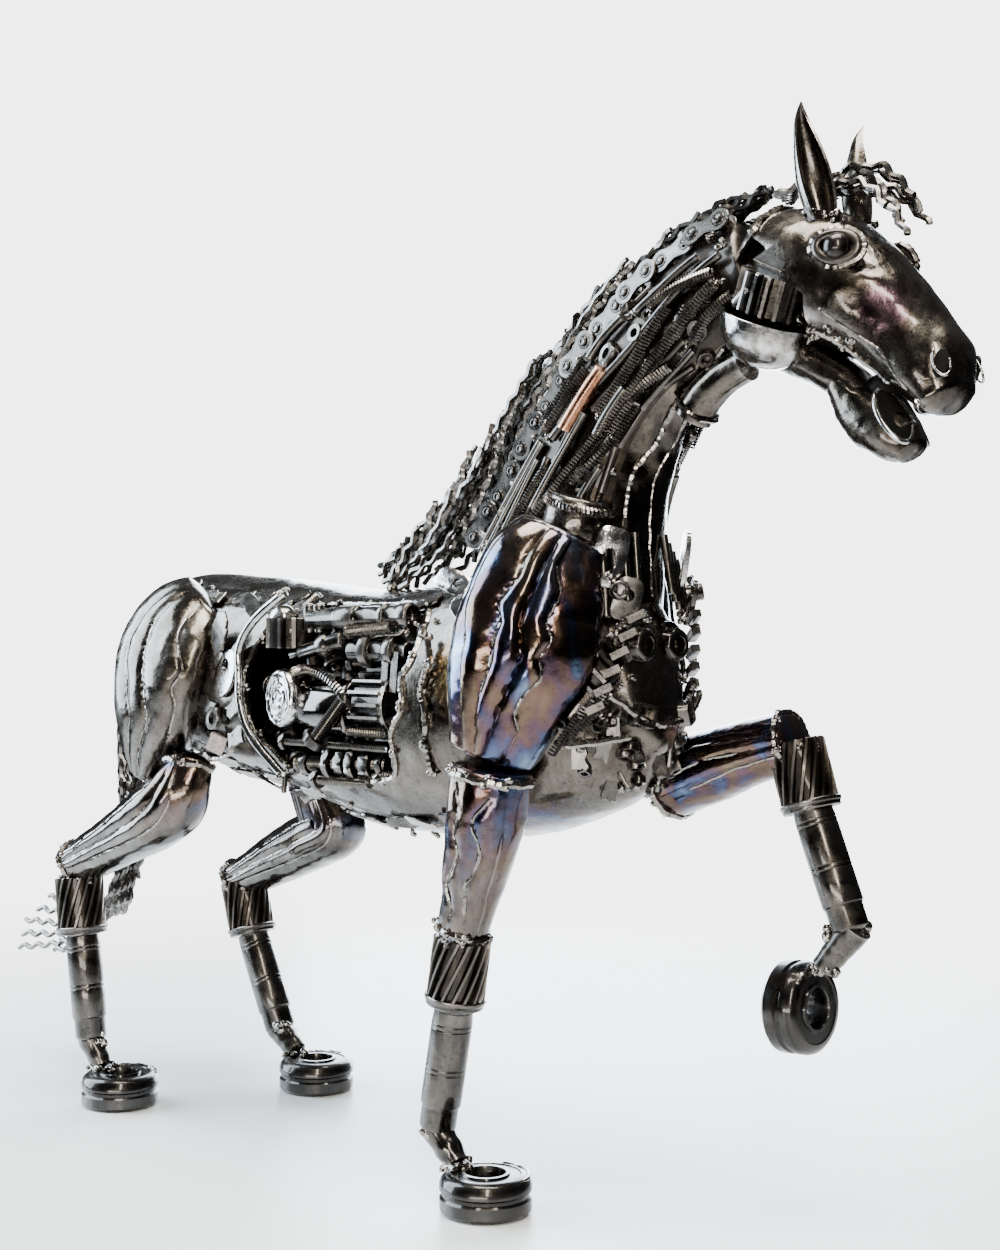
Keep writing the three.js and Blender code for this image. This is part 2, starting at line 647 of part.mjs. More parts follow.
function forelock() {
  const ends = [[204, -15, 484], [211, -7, 470], [209, 2, 490], [214, 9, 477], [202, 16, 493]];
  const knot = [164, 0, 496];
  const rods = ends.map((end) => {
    const path = (t) => end.map((v, n) => knot[n] + (v - knot[n]) * t + (n === 2 ? 16 * t * (1 - t) : 0));
    return crimped(path, 44);
  });
  return unionOf([rod([[142, 0, 500], [154, 0, 501], [167, 0, 496]], 5, 5), ...rods]);
}

// The tail hangs as one bundle close behind the haunches, and its rods sweep back at the bottom.
const TAIL_BODY = [
  [-336, 0, 302, 6, 6, 6],
  [-352, 0, 294, 8, 7, 7],
  [-370, 0, 250, 9, 6, 6],
  [-372, 0, 195, 9, 6, 6],
  [-368, -2, 150, 10, 7, 7],
  [-376, -4, 118, 10, 6, 6],
];

function tail() {
  const rods = [-2, -1, 0, 1].map((k) => {
    const line = [
      [-370, 3 * k - 2, 145], [-378 - k, 4 * k - 4, 112 - 3 * k], [-425, 5 * k - 8, 94 + 5 * k],
      [-476 + 5 * Math.abs(k), 6 * k - 12, 92 + 9 * k],
    ];
    return crimped((t) => stationAt(line, t), 130, k + 2);
  });
  return unionOf([loft(TAIL_BODY, { sides: 6, steps: 7 }), ...rods]);
}

add("mane", "rod", mane());
add("forelock", "rod", forelock());
add("tail", "rod", tail());

// ---- the finished horse ---------------------------------------------------------------------------------
const horse = new THREE.Group();
const footprint = new THREE.Box3();
for (const [name, { finish, solid }] of pieces) {
  const mesh = new THREE.Mesh(geometryOf(solid), MATERIALS[finish]);
  mesh.name = name;
  horse.add(mesh);
  mesh.geometry.computeBoundingBox();
  footprint.union(mesh.geometry.boundingBox);
}
const middle = footprint.getCenter(new THREE.Vector3());
horse.position.set(-middle.x, -middle.y, -footprint.min.z);

export default horse;
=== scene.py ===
"""Looks for a prancing horse welded together from scrap steel.

Places are millimetres in the horse's own frame, as in the part's source: x = 0 at the middle of the right
fore hoof, +X towards the head, +Y to the horse's left, +Z up. Piece.build moves them into the row's frame.
"""

import math
import random

import bpy
import numpy as np
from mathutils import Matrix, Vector, noise


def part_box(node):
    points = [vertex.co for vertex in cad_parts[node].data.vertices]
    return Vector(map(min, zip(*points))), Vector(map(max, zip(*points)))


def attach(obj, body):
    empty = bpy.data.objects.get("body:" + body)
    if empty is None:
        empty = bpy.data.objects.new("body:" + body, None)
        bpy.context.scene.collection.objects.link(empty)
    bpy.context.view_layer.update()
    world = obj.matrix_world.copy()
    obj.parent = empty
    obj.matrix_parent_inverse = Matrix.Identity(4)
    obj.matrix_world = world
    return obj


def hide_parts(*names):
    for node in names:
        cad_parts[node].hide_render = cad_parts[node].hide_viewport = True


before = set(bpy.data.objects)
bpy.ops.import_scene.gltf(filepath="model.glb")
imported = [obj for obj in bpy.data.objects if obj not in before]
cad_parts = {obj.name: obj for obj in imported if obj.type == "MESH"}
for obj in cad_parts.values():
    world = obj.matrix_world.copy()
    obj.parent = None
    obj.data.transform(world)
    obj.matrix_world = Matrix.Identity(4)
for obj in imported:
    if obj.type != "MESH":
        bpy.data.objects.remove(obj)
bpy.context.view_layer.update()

HOOF = {"radius": 23.5, "bore": 10, "height": 20, "groove": 1.2}
HOOF_PLACE = (0, -57)  # x and y of the right fore hoof, which gives the horse's place in the row's frame
low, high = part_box("right_fore_hoof")
OFFSET = np.array([(low[0] + high[0]) * 500 - HOOF_PLACE[0], low[1] * 1000 + HOOF["radius"] - HOOF_PLACE[1],
                   0])

X, Y, Z = np.eye(3)

SHARP_ANGLE = 42  # degrees; edges that turn more than this stay crisp
COIL_STEPS = 7  # points on each turn of a spring
ROD_STEP = 2.0  # between the rings of a crimped rod
MANE_RODS = 126
TAIL_RODS = 22
NECK_BITS = 50  # small scrap on each side of the neck
BAY_BITS = 56  # and in each flank


# ---- shapes: a shape is (points, faces), the faces being arrays of corners -----------------------
def unit(v):
    v = np.asarray(v, float)
    return v / np.maximum(np.linalg.norm(v, axis=-1, keepdims=True), 1e-9)


def join(*shapes):
    points, faces, count = [], [], 0
    for own_points, own_faces in shapes:
        points.append(own_points)
        faces += [block + count for block in own_faces]
        count += len(own_points)
    return np.concatenate(points), faces


def mirrored(shape):
    """The same shape on the horse's other side."""
    points, faces = shape
    return points * [1, -1, 1], [block[:, ::-1] for block in faces]


def same(shape):
    return shape


SIDES = (("right", same), ("left", mirrored))


def moved(shape, move):
    return shape[0] + np.asarray(move, float), shape[1]


def between(shape, start, end, turn=0.0):
    """Stands a shape that was made along +Z on start, facing end, turned about its axis by some degrees."""
    axis = unit(np.subtract(end, start))
    side = unit(np.cross(Y if abs(axis[1]) < 0.9 else X, axis))
    other = np.cross(axis, side)
    c, s = math.cos(math.radians(turn)), math.sin(math.radians(turn))
    basis = np.array([c * side + s * other, c * other - s * side, axis])
    return shape[0] @ basis + np.asarray(start, float), shape[1]


def ring_body(rings, start=None, end=None):
    """A skin over rings of points, each closed, with a fan to a point at either end where one is given."""
    rings = np.asarray(rings, float)
    rows, columns = rings.shape[:2]
    a = np.arange(rows * columns).reshape(rows, columns)
    b = np.roll(a, -1, axis=1)
    faces = [np.stack([a[:-1], b[:-1], b[1:], a[1:]], axis=-1).reshape(-1, 4)]
    points = [rings.reshape(-1, 3)]
    for tip, edge, flip in ((start, 0, True), (end, -1, False)):
        if tip is not None:
            index = rows * columns + len(points) - 1
            fan = np.stack([a[edge], b[edge], np.full(columns, index)], axis=-1)
            faces.append(fan[:, ::-1] if flip else fan)
            points.append(np.reshape(tip, (1, 3)))
    return np.concatenate(points), faces


def turned(profile, sides=32, soft=0.35):
    """A turned piece along +Z from [radius, height] pairs, with its corners rounded off a little."""
    profile = np.asarray(profile, float)
    outline = [profile[0]]
    for before, here, after in zip(profile, profile[1:], profile[2:]):
        if not soft:
            outline.append(here)
            continue
        for other in (before, after):
            reach = min(soft, np.linalg.norm(other - here) * 0.4)
            outline.append(here + unit(other - here) * reach)
    outline.append(profile[-1])
    angles = np.linspace(0, 2 * math.pi, sides, endpoint=False)
    rings = [np.stack([r * np.cos(angles), r * np.sin(angles), np.full(sides, z)], axis=-1) for r,
             z in outline]
    return ring_body(rings, rings[0].mean(axis=0), rings[-1].mean(axis=0))


def lathe(profile, start, end, sides=32, soft=0.35):
    return between(turned(profile, sides, soft), start, end)


def spaced(points, step):
    """Points at even steps along a smooth curve through some others."""
    points = np.asarray(points, float)
    count = max(len(points) * 6, 12)
    rows = catmull(points, np.linspace(0, 1, count)) if len(points) > 2 else points
    lengths = np.concatenate([[0], np.cumsum(np.linalg.norm(np.diff(rows, axis=0), axis=1))])
    wanted = np.linspace(0, lengths[-1], max(int(round(lengths[-1] / step)) + 1, 3))
    return np.stack([np.interp(wanted, lengths, rows[:, k]) for k in range(3)], axis=-1)


def tube(path, radius, sides=8):
    """A round rod along a path. The radius is one number, or one for each point."""
    path = np.asarray(path, float)
    radius = np.broadcast_to(radius, len(path))
    along = unit(np.gradient(path, axis=0))
    side = unit(np.cross(along[0], Z if abs(along[0][2]) < 0.9 else X))
    angles = np.linspace(0, 2 * math.pi, sides, endpoint=False)
    rings = []
    for point, direction, reach in zip(path, along, radius):
        side = unit(side - direction * np.dot(side, direction))
        other = np.cross(direction, side)
        rings.append(point + reach * (np.outer(np.cos(angles), side) + np.outer(np.sin(angles), other)))
    blunt = 0.3 * radius
    return ring_body(rings, path[0] - along[0] * blunt[0], path[-1] + along[-1] * blunt[-1])


def gear(teeth, tip, root, length, twist=0.0, sides_on_tooth=((0, 0), (0.22, 0), (0.32, 1), (0.56, 1),
                                                              (0.7, 0))):
    """A toothed wheel along +Z with softened ends. Twist winds the teeth, in radians over the length."""
    shares = [(k + share) / teeth for k in range(teeth) for share, _ in sides_on_tooth]
    reach = np.array([root + (tip - root) * out for _ in range(teeth) for _, out in sides_on_tooth])
    angles = 2 * math.pi * np.array(shares)
    soft = 0.5
    rows = [(0, soft), (soft, 0)] + [(length * k / 8, 0) for k in range(1, 8)] + [(length - soft, 0),
                                                                                  (length, soft)]
    rings = []
    for z, inset in rows:
        turn = angles + twist * z / length
        r = reach - inset
        rings.append(np.stack([r * np.cos(turn), r * np.sin(turn), np.full(len(turn), z)], axis=-1))
    return ring_body(rings, (0, 0, 0), (0, 0, length))


def slab(outline, thickness, soft=0.4):
    """A flat plate along +Z from an outline of [x, y] pairs, its edges softened."""
    outline = np.asarray(outline, float)
    centre = outline.mean(axis=0)
    inset = centre + (outline - centre) * (1 - soft / np.abs(outline - centre).max())
    layers = [(inset, 0), (outline, soft), (outline, thickness - soft), (inset, thickness)]
    rings = [np.column_stack([shape, np.full(len(shape), z)]) for shape, z in layers]
    return ring_body(rings, (*centre, 0), (*centre, thickness))


def washer(outer, inner, thickness, sides=28, soft=0.3):
    """A ring along +Z with a real hole through it."""
    profile = [(inner, 0), (outer, 0), (outer, thickness), (inner, thickness), (inner, 0)]
    angles = np.linspace(0, 2 * math.pi, sides, endpoint=False)
    corners = []
    for k in range(4):
        before, here, after = profile[k - 1 if k else 3], profile[k], profile[k + 1]
        for other in (before, after):
            corners.append(np.add(here, unit(np.subtract(other, here)) * soft))
    rings = [np.stack([r * np.cos(angles), r * np.sin(angles), np.full(sides, z)], axis=-1) for r,
             z in corners]
    return ring_body(rings + [rings[0]])


def nut(across, inner, thickness, sides=6):
    """A nut along +Z: its flats, chamfered at both ends, and the hole through it."""
    angles = np.linspace(0, 2 * math.pi, sides * 6, endpoint=False)
    phase = (angles + math.pi / sides) % (2 * math.pi / sides) - math.pi / sides
    flats = across / 2 / np.cos(phase)
    circle = np.full(len(angles), across / 2)
    rows = [(np.full(len(angles), inner), 0.3), (circle * 0.9, 0), (circle, 0), (flats, 0.9)]
    rows += [(r, thickness - z) for r, z in reversed(rows)]
    rings = [np.stack([r * np.cos(angles), r * np.sin(angles), np.full(len(angles), z)], axis=-1) for r,
             z in rows]
    return ring_body(rings + [rings[0]])


def thread(radius, length, pitch=1.6, sides=12):
    """A threaded rod along +Z."""
    profile = [(0, 0)]
    for k in range(max(int(length / pitch), 1)):
        profile += [(radius, k * pitch), (radius * 0.84, (k + 0.5) * pitch)]
    profile += [(radius, length), (0, length)]
    return turned(profile, sides, soft=0)


def bolt(start, end, radius, head=1.9, turn=0.0):
    """A bolt between two points: a hexagon head at the start, and thread from there on."""
    start, end = np.asarray(start, float), np.asarray(end, float)
    length = np.linalg.norm(end - start)
    tall = radius * 1.3
    hexagon = nut(radius * 2 * head * 0.95, 0.2, tall)
    neck = turned([(0, tall - 0.1), (radius, tall), (radius, tall + 0.2), (0, tall + 0.2)], 20)
    threaded = moved(thread(radius, length - tall), (0, 0, tall))
    return between(join(hexagon, neck, threaded), start, end, turn)


def lumps(points, size, seed):
    """Smooth noise from -1 to 1 at each point, its lumps of about that size in millimetres."""
    shift = np.array([seed * 7.3, seed * 3.1, -seed * 5.7])
    flat = np.asarray(points, float).reshape(-1, 3) / size + shift
    values = np.array([noise.noise(Vector(p)) for p in flat])
    return values.reshape(np.shape(points)[:-1])


def bead(path, radius, seed=0, step=1.1, sides=6):
    """A weld bead: a rod of overlapping ripples that wanders a little off its path."""
    points = spaced(path, step)
    ripple = 0.1 * np.sin(np.arange(len(points)) * 2.1)
    girth = radius * (1 + 0.28 * lumps(points, 4, seed) + ripple)
    girth[0] *= 0.6
    girth[-1] *= 0.6
    drift = np.stack([lumps(points, 6, seed + k) for k in (1, 2, 3)], axis=-1) * radius * 0.5
    return tube(points + drift, girth, sides)


def blob(centre, radius, seed=0, squash=(1, 1, 1), rough=0.25, rows=9, columns=14):
    """A lump of weld metal."""
    polar = np.linspace(0, math.pi, rows + 2)[1:-1]
    angles = np.linspace(0, 2 * math.pi, columns, endpoint=False)
    ball = np.stack([np.outer(np.sin(polar), np.cos(angles)), np.outer(np.sin(polar), np.sin(angles)),
                     np.outer(-np.cos(polar), np.ones(columns))], axis=-1)
    swell = 1 + rough * lumps(ball * radius + np.asarray(centre), radius * 0.9, seed)
    rings = ball * swell[..., None] * radius * np.asarray(squash, float) + np.asarray(centre, float)
    reach = np.multiply(squash, radius)[2]
    return ring_body(rings, np.subtract(centre, (0, 0, reach)), np.add(centre, (0, 0, reach)))


def spatter(centres, radius, seed):
    """Lumps of weld metal piled round each of some points."""
    dice = random.Random(seed)
    shapes = []
    for centre in centres:
        for k in range(4):
            shift = [dice.uniform(-0.8, 0.8) * radius for _ in range(3)]
            size = radius * dice.uniform(0.45, 0.85)
            shapes.append(blob(np.add(centre, shift), size, seed + k, rows=5, columns=8))
    return join(*shapes)


# ---- lofts ---------------------------------------------------------------------------------------
def catmull(stations, t):
    """Rows of a smooth curve through the stations, at shares t of its length."""
    stations = np.asarray(stations, float)
    last = len(stations) - 1
    place = np.clip(t, 0, 1) * last
    i = np.clip(np.floor(place).astype(int), 0, last - 1)
    f = (place - i)[:, None]
    a, b, c, d = (stations[np.clip(i + k, 0, last)] for k in (-1, 0, 1, 2))
    return (2 * b + (c - a) * f + (2 * a - 5 * b + 4 * c - d) * f**2 + (3 * b - a - 3 * c + d) * f**3) / 2


class Loft:
    """Oval rings strung on a spine, as in the part's source.

    A station is x, y, z, across, above and below.
    """

    def __init__(self, stations, noses=(4, 4), roll=0.0, relief=None):
        self.stations = np.asarray(stations, float)
        self.noses = noses
        self.roll = math.radians(roll)
        self.relief = relief or (lambda t, degrees: np.zeros(np.broadcast(t, degrees).shape))

    def frames(self, t):
        rows = catmull(self.stations, t)
        ahead, behind = (catmull(self.stations, np.clip(t + step, 0, 1))[:, :3] for step in (0.004, -0.004))
        along = unit(ahead - behind)
        up = unit(np.cross(along, Y))
        up = up * math.cos(self.roll) + np.cross(along, up) * math.sin(self.roll)
        return rows, along, up, unit(np.cross(up, along))

    def spokes(self, t, degrees):
        """From the spine to the surface, at each of the shares t and angles together."""
        rows, along, up, side = self.frames(t)
        angle = np.radians(degrees)
        height = np.sin(angle)
        reach = np.where(height > 0, rows[:, 4], rows[:, 5]) * height
        spoke = side * (np.cos(angle) * rows[:, 3])[:, None] + up * reach[:, None]
        return rows[:, :3], along, spoke + unit(spoke) * self.relief(t, degrees)[:, None]

    def at(self, t, degrees, lift=0.0):
        """Points on the surface, raised off it."""
        t, degrees = np.broadcast_arrays(np.atleast_1d(t).astype(float),
                                         np.atleast_1d(degrees).astype(float))
        centre, _, spoke = self.spokes(t, degrees)
        return centre + spoke + unit(spoke) * np.reshape(lift, (-1, 1))

    def line(self, places, lift=0.0):
        """A list of points along the surface through (t, degrees) places."""
        places = np.asarray(places, float)
        count = max(len(places) * 5, 8)
        rows = catmull(places, np.linspace(0, 1, count)) if len(places) > 2 else places
        return self.at(rows[:, 0], rows[:, 1], lift)

    def rings(self, rows, columns):
        """The skin as rings, with both rounded ends."""
        rounds = np.sin(np.linspace(-math.pi / 2, 0, 7)[1:-1])
        t = np.concatenate([np.zeros(5), np.linspace(0, 1, rows), np.ones(5)])
        out = np.concatenate([rounds, np.zeros(rows), -rounds[::-1]])
        degrees = np.linspace(0, 360, columns, endpoint=False)
        wide_t, wide_degrees = (grid.ravel() for grid in np.meshgrid(t, degrees, indexing="ij"))
        centre, along, spoke = self.spokes(wide_t, wide_degrees)
        bulge = np.repeat(out, columns)
        nose = np.where(bulge < 0, self.noses[0], self.noses[1])
        points = centre + along * (bulge * nose)[:, None] + spoke * np.sqrt(1 - bulge**2)[:, None]
        return points.reshape(len(t), columns, 3)

    def tips(self):
        _, along, _, _ = self.frames(np.array([0.0, 1.0]))
        ends = catmull(self.stations, np.array([0.0, 1.0]))[:, :3]
        return ends[0] - along[0] * self.noses[0], ends[1] + along[1] * self.noses[1]


def normals_of(rings):
    """Outward directions on a grid of rings."""
    across = np.roll(rings, -1, axis=1) - np.roll(rings, 1, axis=1)
    along = np.gradient(rings, axis=0)
    return unit(np.cross(across, along))


def lobes(lines, height, start=0.0, end=1.0, sharp=0.7):
    """Relief of long muscles: a rounded lobe between each two neighbouring lines of (t, degrees) places."""
    lines = [np.asarray(line, float) for line in lines]

    def relief(t, degrees):
        t, degrees = np.broadcast_arrays(t, degrees)
        edges = [np.interp(t, line[:, 0], line[:, 1]) for line in lines]
        share = np.clip((t - start) / (end - start), 0, 1)
        fade = np.sin(math.pi * share) ** 0.5
        total = np.zeros(t.shape)
        for left, right in zip(edges, edges[1:]):
            place = (degrees - left) / (right - left)
            inside = (place > 0) & (place < 1)
            total = np.where(inside, height * np.sin(math.pi * np.clip(place, 0, 1)) ** sharp * fade, total)
        return total

    return relief


def swell(centre, reach, depth):
    """A bump round a place, or a dent where the depth is below zero: its centre, half sizes and depth."""
    return np.asarray(centre, float), np.asarray(reach, float), depth


def sculpted(rings, swells=(), texture=()):
    """Pushes a grid of rings in and out: by its swells, and by (size, depth, seed) layers of lumps."""
    normal = normals_of(rings)
    push = np.zeros(rings.shape[:2])
    for centre, reach, depth in swells:
        push += depth * np.exp(-np.sum(((rings - centre) / reach) ** 2, axis=-1))
    for size, depth, seed in texture:
        push += depth * lumps(rings, size, seed)
    return rings + normal * push[..., None]


# ---- pieces: one Blender object each -------------------------------------------------------------
class Piece:
    """Shapes gathered with the finish of each, built into one object that stands for some CAD nodes."""

    def __init__(self, name, slot, *nodes):
        self.name, self.slot, self.nodes = name, slot, nodes
        self.shapes = []

    def add(self, finish, *shapes):
        self.shapes += [(finish, shape) for shape in shapes]
        return self

    def put(self, change):
        """Changes the place of every shape, such as mirrored does."""
        self.shapes = [(finish, change(shape)) for finish, shape in self.shapes]
        return self

    def mirror(self, name, *nodes):
        """The same piece on the horse's left side."""
        twin = Piece(name, self.slot, *nodes)
        twin.shapes = list(self.shapes)
        return twin.put(mirrored)

    def build(self):
        finishes = sorted({finish for finish, _ in self.shapes})
        points, faces = join(*[shape for _, shape in self.shapes])
        mesh = bpy.data.meshes.new(self.name)
        mesh.from_pydata(((points + OFFSET) / 1000).tolist(), [],
                         [f for block in faces for f in block.tolist()])
        slots = [finishes.index(finish) for finish,
                 shape in self.shapes for block in shape[1] for _ in block]
        mesh.polygons.foreach_set("material_index", slots)
        mesh.shade_smooth()
        mesh.set_sharp_from_angle(angle=math.radians(SHARP_ANGLE))
        for finish in finishes:
            mesh.materials.append(FINISHES[finish])
        mesh.update()
        piece = bpy.data.objects.new(self.name, mesh)
        bpy.context.scene.collection.objects.link(piece)
        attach(piece, "root")
        if self.nodes:
            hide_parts(*self.nodes)
        return piece


# ---- finishes ------------------------------------------------------------------------------------
class Pattern:
    """The node tree of one metal, its patterns in the horse's own space so they join between pieces."""

    def __init__(self, name):
        self.material = bpy.data.materials.new(name)
        self.material.use_nodes = True
        self.tree = self.material.node_tree
        self.shader = self.tree.nodes["Principled BSDF"]
        self.place = self.tree.nodes.new("ShaderNodeTexCoord").outputs["Object"]

    def node(self, kind, settings=None, **inputs):
        made = self.tree.nodes.new(kind)
        for name, value in (settings or {}).items():
            setattr(made, name, value)
        for name, value in inputs.items():
            socket = made.inputs[int(name[1:]) if name[0] == "_" else name.replace("_", " ")]
            if hasattr(value, "is_linked"):
                self.tree.links.new(value, socket)
            else:
                socket.default_value = value
        return made

    def noise(self, size, detail=3.0, stretch=(1, 1, 1), warp=0.0):
        """Cloudy noise with features of a size in millimetres, drawn out along X, Y or Z by the stretch."""
        scaled = self.node("ShaderNodeVectorMath", {"operation": "DIVIDE"}, _0=self.place, _1=stretch)
        return self.node("ShaderNodeTexNoise", Vector=scaled.outputs[0], Scale=1000 / size, Detail=detail,
                         Distortion=warp).outputs["Fac"]

    def ramp(self, value, stops):
        """Colours, or plain numbers, along a value."""
        made = self.node("ShaderNodeValToRGB", _0=value)
        scale = made.color_ramp.elements
        for _ in stops[2:]:
            scale.new(0.5)
        for element, (position, colour) in zip(scale, stops):
            element.position = position
            colour = (colour,) * 3 if isinstance(colour, (int, float)) else colour
            element.color = (*colour, 1)
        return made.outputs["Color"]

    def mix(self, share, a, b, blend="MIX"):
        made = self.node("ShaderNodeMix", {"data_type": "RGBA", "blend_type": blend}, _0=share)
        for value, socket in ((a, made.inputs[6]), (b, made.inputs[7])):
            if hasattr(value, "is_linked"):
                self.tree.links.new(value, socket)
            else:
                socket.default_value = (*value, 1)
        return made.outputs[2]

    def maths(self, operation, a, b=0.0, clamp=False):
        made = self.node("ShaderNodeMath", {"operation": operation, "use_clamp": clamp}, _0=a, _1=b)
        return made.outputs[0]

    def near(self, centre, reach, soft=0.6):
        """1 round a place in the horse's own millimetres, falling to 0 at its half sizes."""
        middle = tuple((np.asarray(centre, float) + OFFSET) / 1000)
        away = self.node("ShaderNodeVectorMath", {"operation": "SUBTRACT"}, _0=self.place, _1=middle)
        scaled = self.node("ShaderNodeVectorMath", {"operation": "DIVIDE"}, _0=away.outputs[0],
                           _1=tuple(r / 1000 for r in reach))
        length = self.node("ShaderNodeVectorMath", {"operation": "LENGTH"}, _0=scaled.outputs[0])
        wavering = self.maths("ADD", length.outputs["Value"],
                              self.maths("MULTIPLY", self.noise(12, 4), 0.7))
        made = self.node("ShaderNodeMapRange", {"interpolation_type": "SMOOTHSTEP"}, Value=wavering,
                         From_Min=1.35, From_Max=1.35 - soft)
        return made.outputs[0]

    def edges(self):
        """1 on worn ridges and 0 elsewhere."""
        curve = self.node("ShaderNodeNewGeometry").outputs["Pointiness"]
        return self.node("ShaderNodeMapRange", Value=curve, From_Min=0.52, From_Max=0.6).outputs[0]

    def finish(self, colour, roughness, bumps, metallic=1.0, coat=0.5, coat_roughness=0.05):
        shader = self.shader
        shader.inputs["Metallic"].default_value = metallic
        shader.inputs["Coat Weight"].default_value = coat
        shader.inputs["Coat Roughness"].default_value = coat_roughness
        self.tree.links.new(colour, shader.inputs["Base Color"])
        self.tree.links.new(roughness, shader.inputs["Roughness"])
        normal = None
        for height, depth in bumps:
            bump = self.node("ShaderNodeBump", Height=height, Distance=depth / 1000, Strength=1.0)
            if normal:
                self.tree.links.new(normal, bump.inputs["Normal"])
            normal = bump.outputs["Normal"]
        self.tree.links.new(normal, shader.inputs["Normal"])
        return self.material


HEAT = [(0.0, (0.11, 0.09, 0.07)), (0.36, (0.12, 0.085, 0.05)), (0.47, (0.1, 0.055, 0.04)),
        (0.53, (0.075, 0.04, 0.06)),
        (0.6, (0.04, 0.05, 0.11)), (0.7, (0.09, 0.14, 0.24)), (0.84, (0.2, 0.24, 0.3)),
        (1.0, (0.16, 0.16, 0.16))]


def steel(name, dark, mid, light, rough=(0.14, 0.36), mottle=22, dents=0.5, heat=(), patches=(), coat=0.5,
          grime=0.55, wear=0.6):
    """Worn, lacquered steel: cloudy tones, specks of grime, rubbed ridges and fine scratches.

    Heat is a list of (centre, reach) places with temper colours, and patches are (centre, reach, colour).
    """
    p = Pattern(name)
    cloud = p.noise(mottle, 5, warp=0.6)
    colour = p.ramp(cloud, [(0.3, dark), (0.5, mid), (0.68, light)])
    streaks = p.noise(5, 6, stretch=(1, 1, 7), warp=0.4)
    colour = p.mix(0.35, colour, p.ramp(streaks, [(0.35, dark), (0.62, light)]))
    for centre, reach in heat:
        bands = p.ramp(p.maths("ADD", p.noise(30, 2, stretch=(1, 1, 1.7), warp=1.2), 0.03), HEAT)
        colour = p.mix(p.near(centre, reach), colour, bands)
    for centre, reach, tone in patches:
        colour = p.mix(p.near(centre, reach), colour, tone)
    specks = p.ramp(p.noise(2.2, 4), [(0.3, 1 - grime), (0.45, 1.0)])
    colour = p.mix(1.0, colour, specks, "MULTIPLY")
    colour = p.mix(p.maths("MULTIPLY", p.edges(), wear), colour,
                   tuple(min(1.6 * c + 0.12, 0.9) for c in light))
    fine = p.noise(1.1, 4)
    smear = p.noise(14, 5, warp=1.0)
    roughness = p.ramp(p.maths("ADD", p.maths("MULTIPLY", smear, 0.75), p.maths("MULTIPLY", fine, 0.25)),
                       [(0.35, rough[0]), (0.65, rough[1])])
    scratches = p.noise(1.4, 3, stretch=(1, 1, 9))
    bumps = [(p.noise(9, 3), dents), (fine, 0.035), (scratches, 0.03)]
    return p.finish(colour, roughness, bumps, coat=coat)


def lacquer(name, deep, bright):
    """A clear red lacquer over metal, patchy and worn at the edges."""
    p = Pattern(name)
    colour = p.ramp(p.noise(5, 5, warp=0.5), [(0.35, deep), (0.6, bright)])
    colour = p.mix(p.maths("MULTIPLY", p.edges(), 0.8), colour, (0.5, 0.45, 0.4))
    roughness = p.ramp(p.noise(3, 4), [(0.3, 0.15), (0.7, 0.45)])
    return p.finish(colour, roughness, [(p.noise(2.5, 3), 0.15)], metallic=0.5)


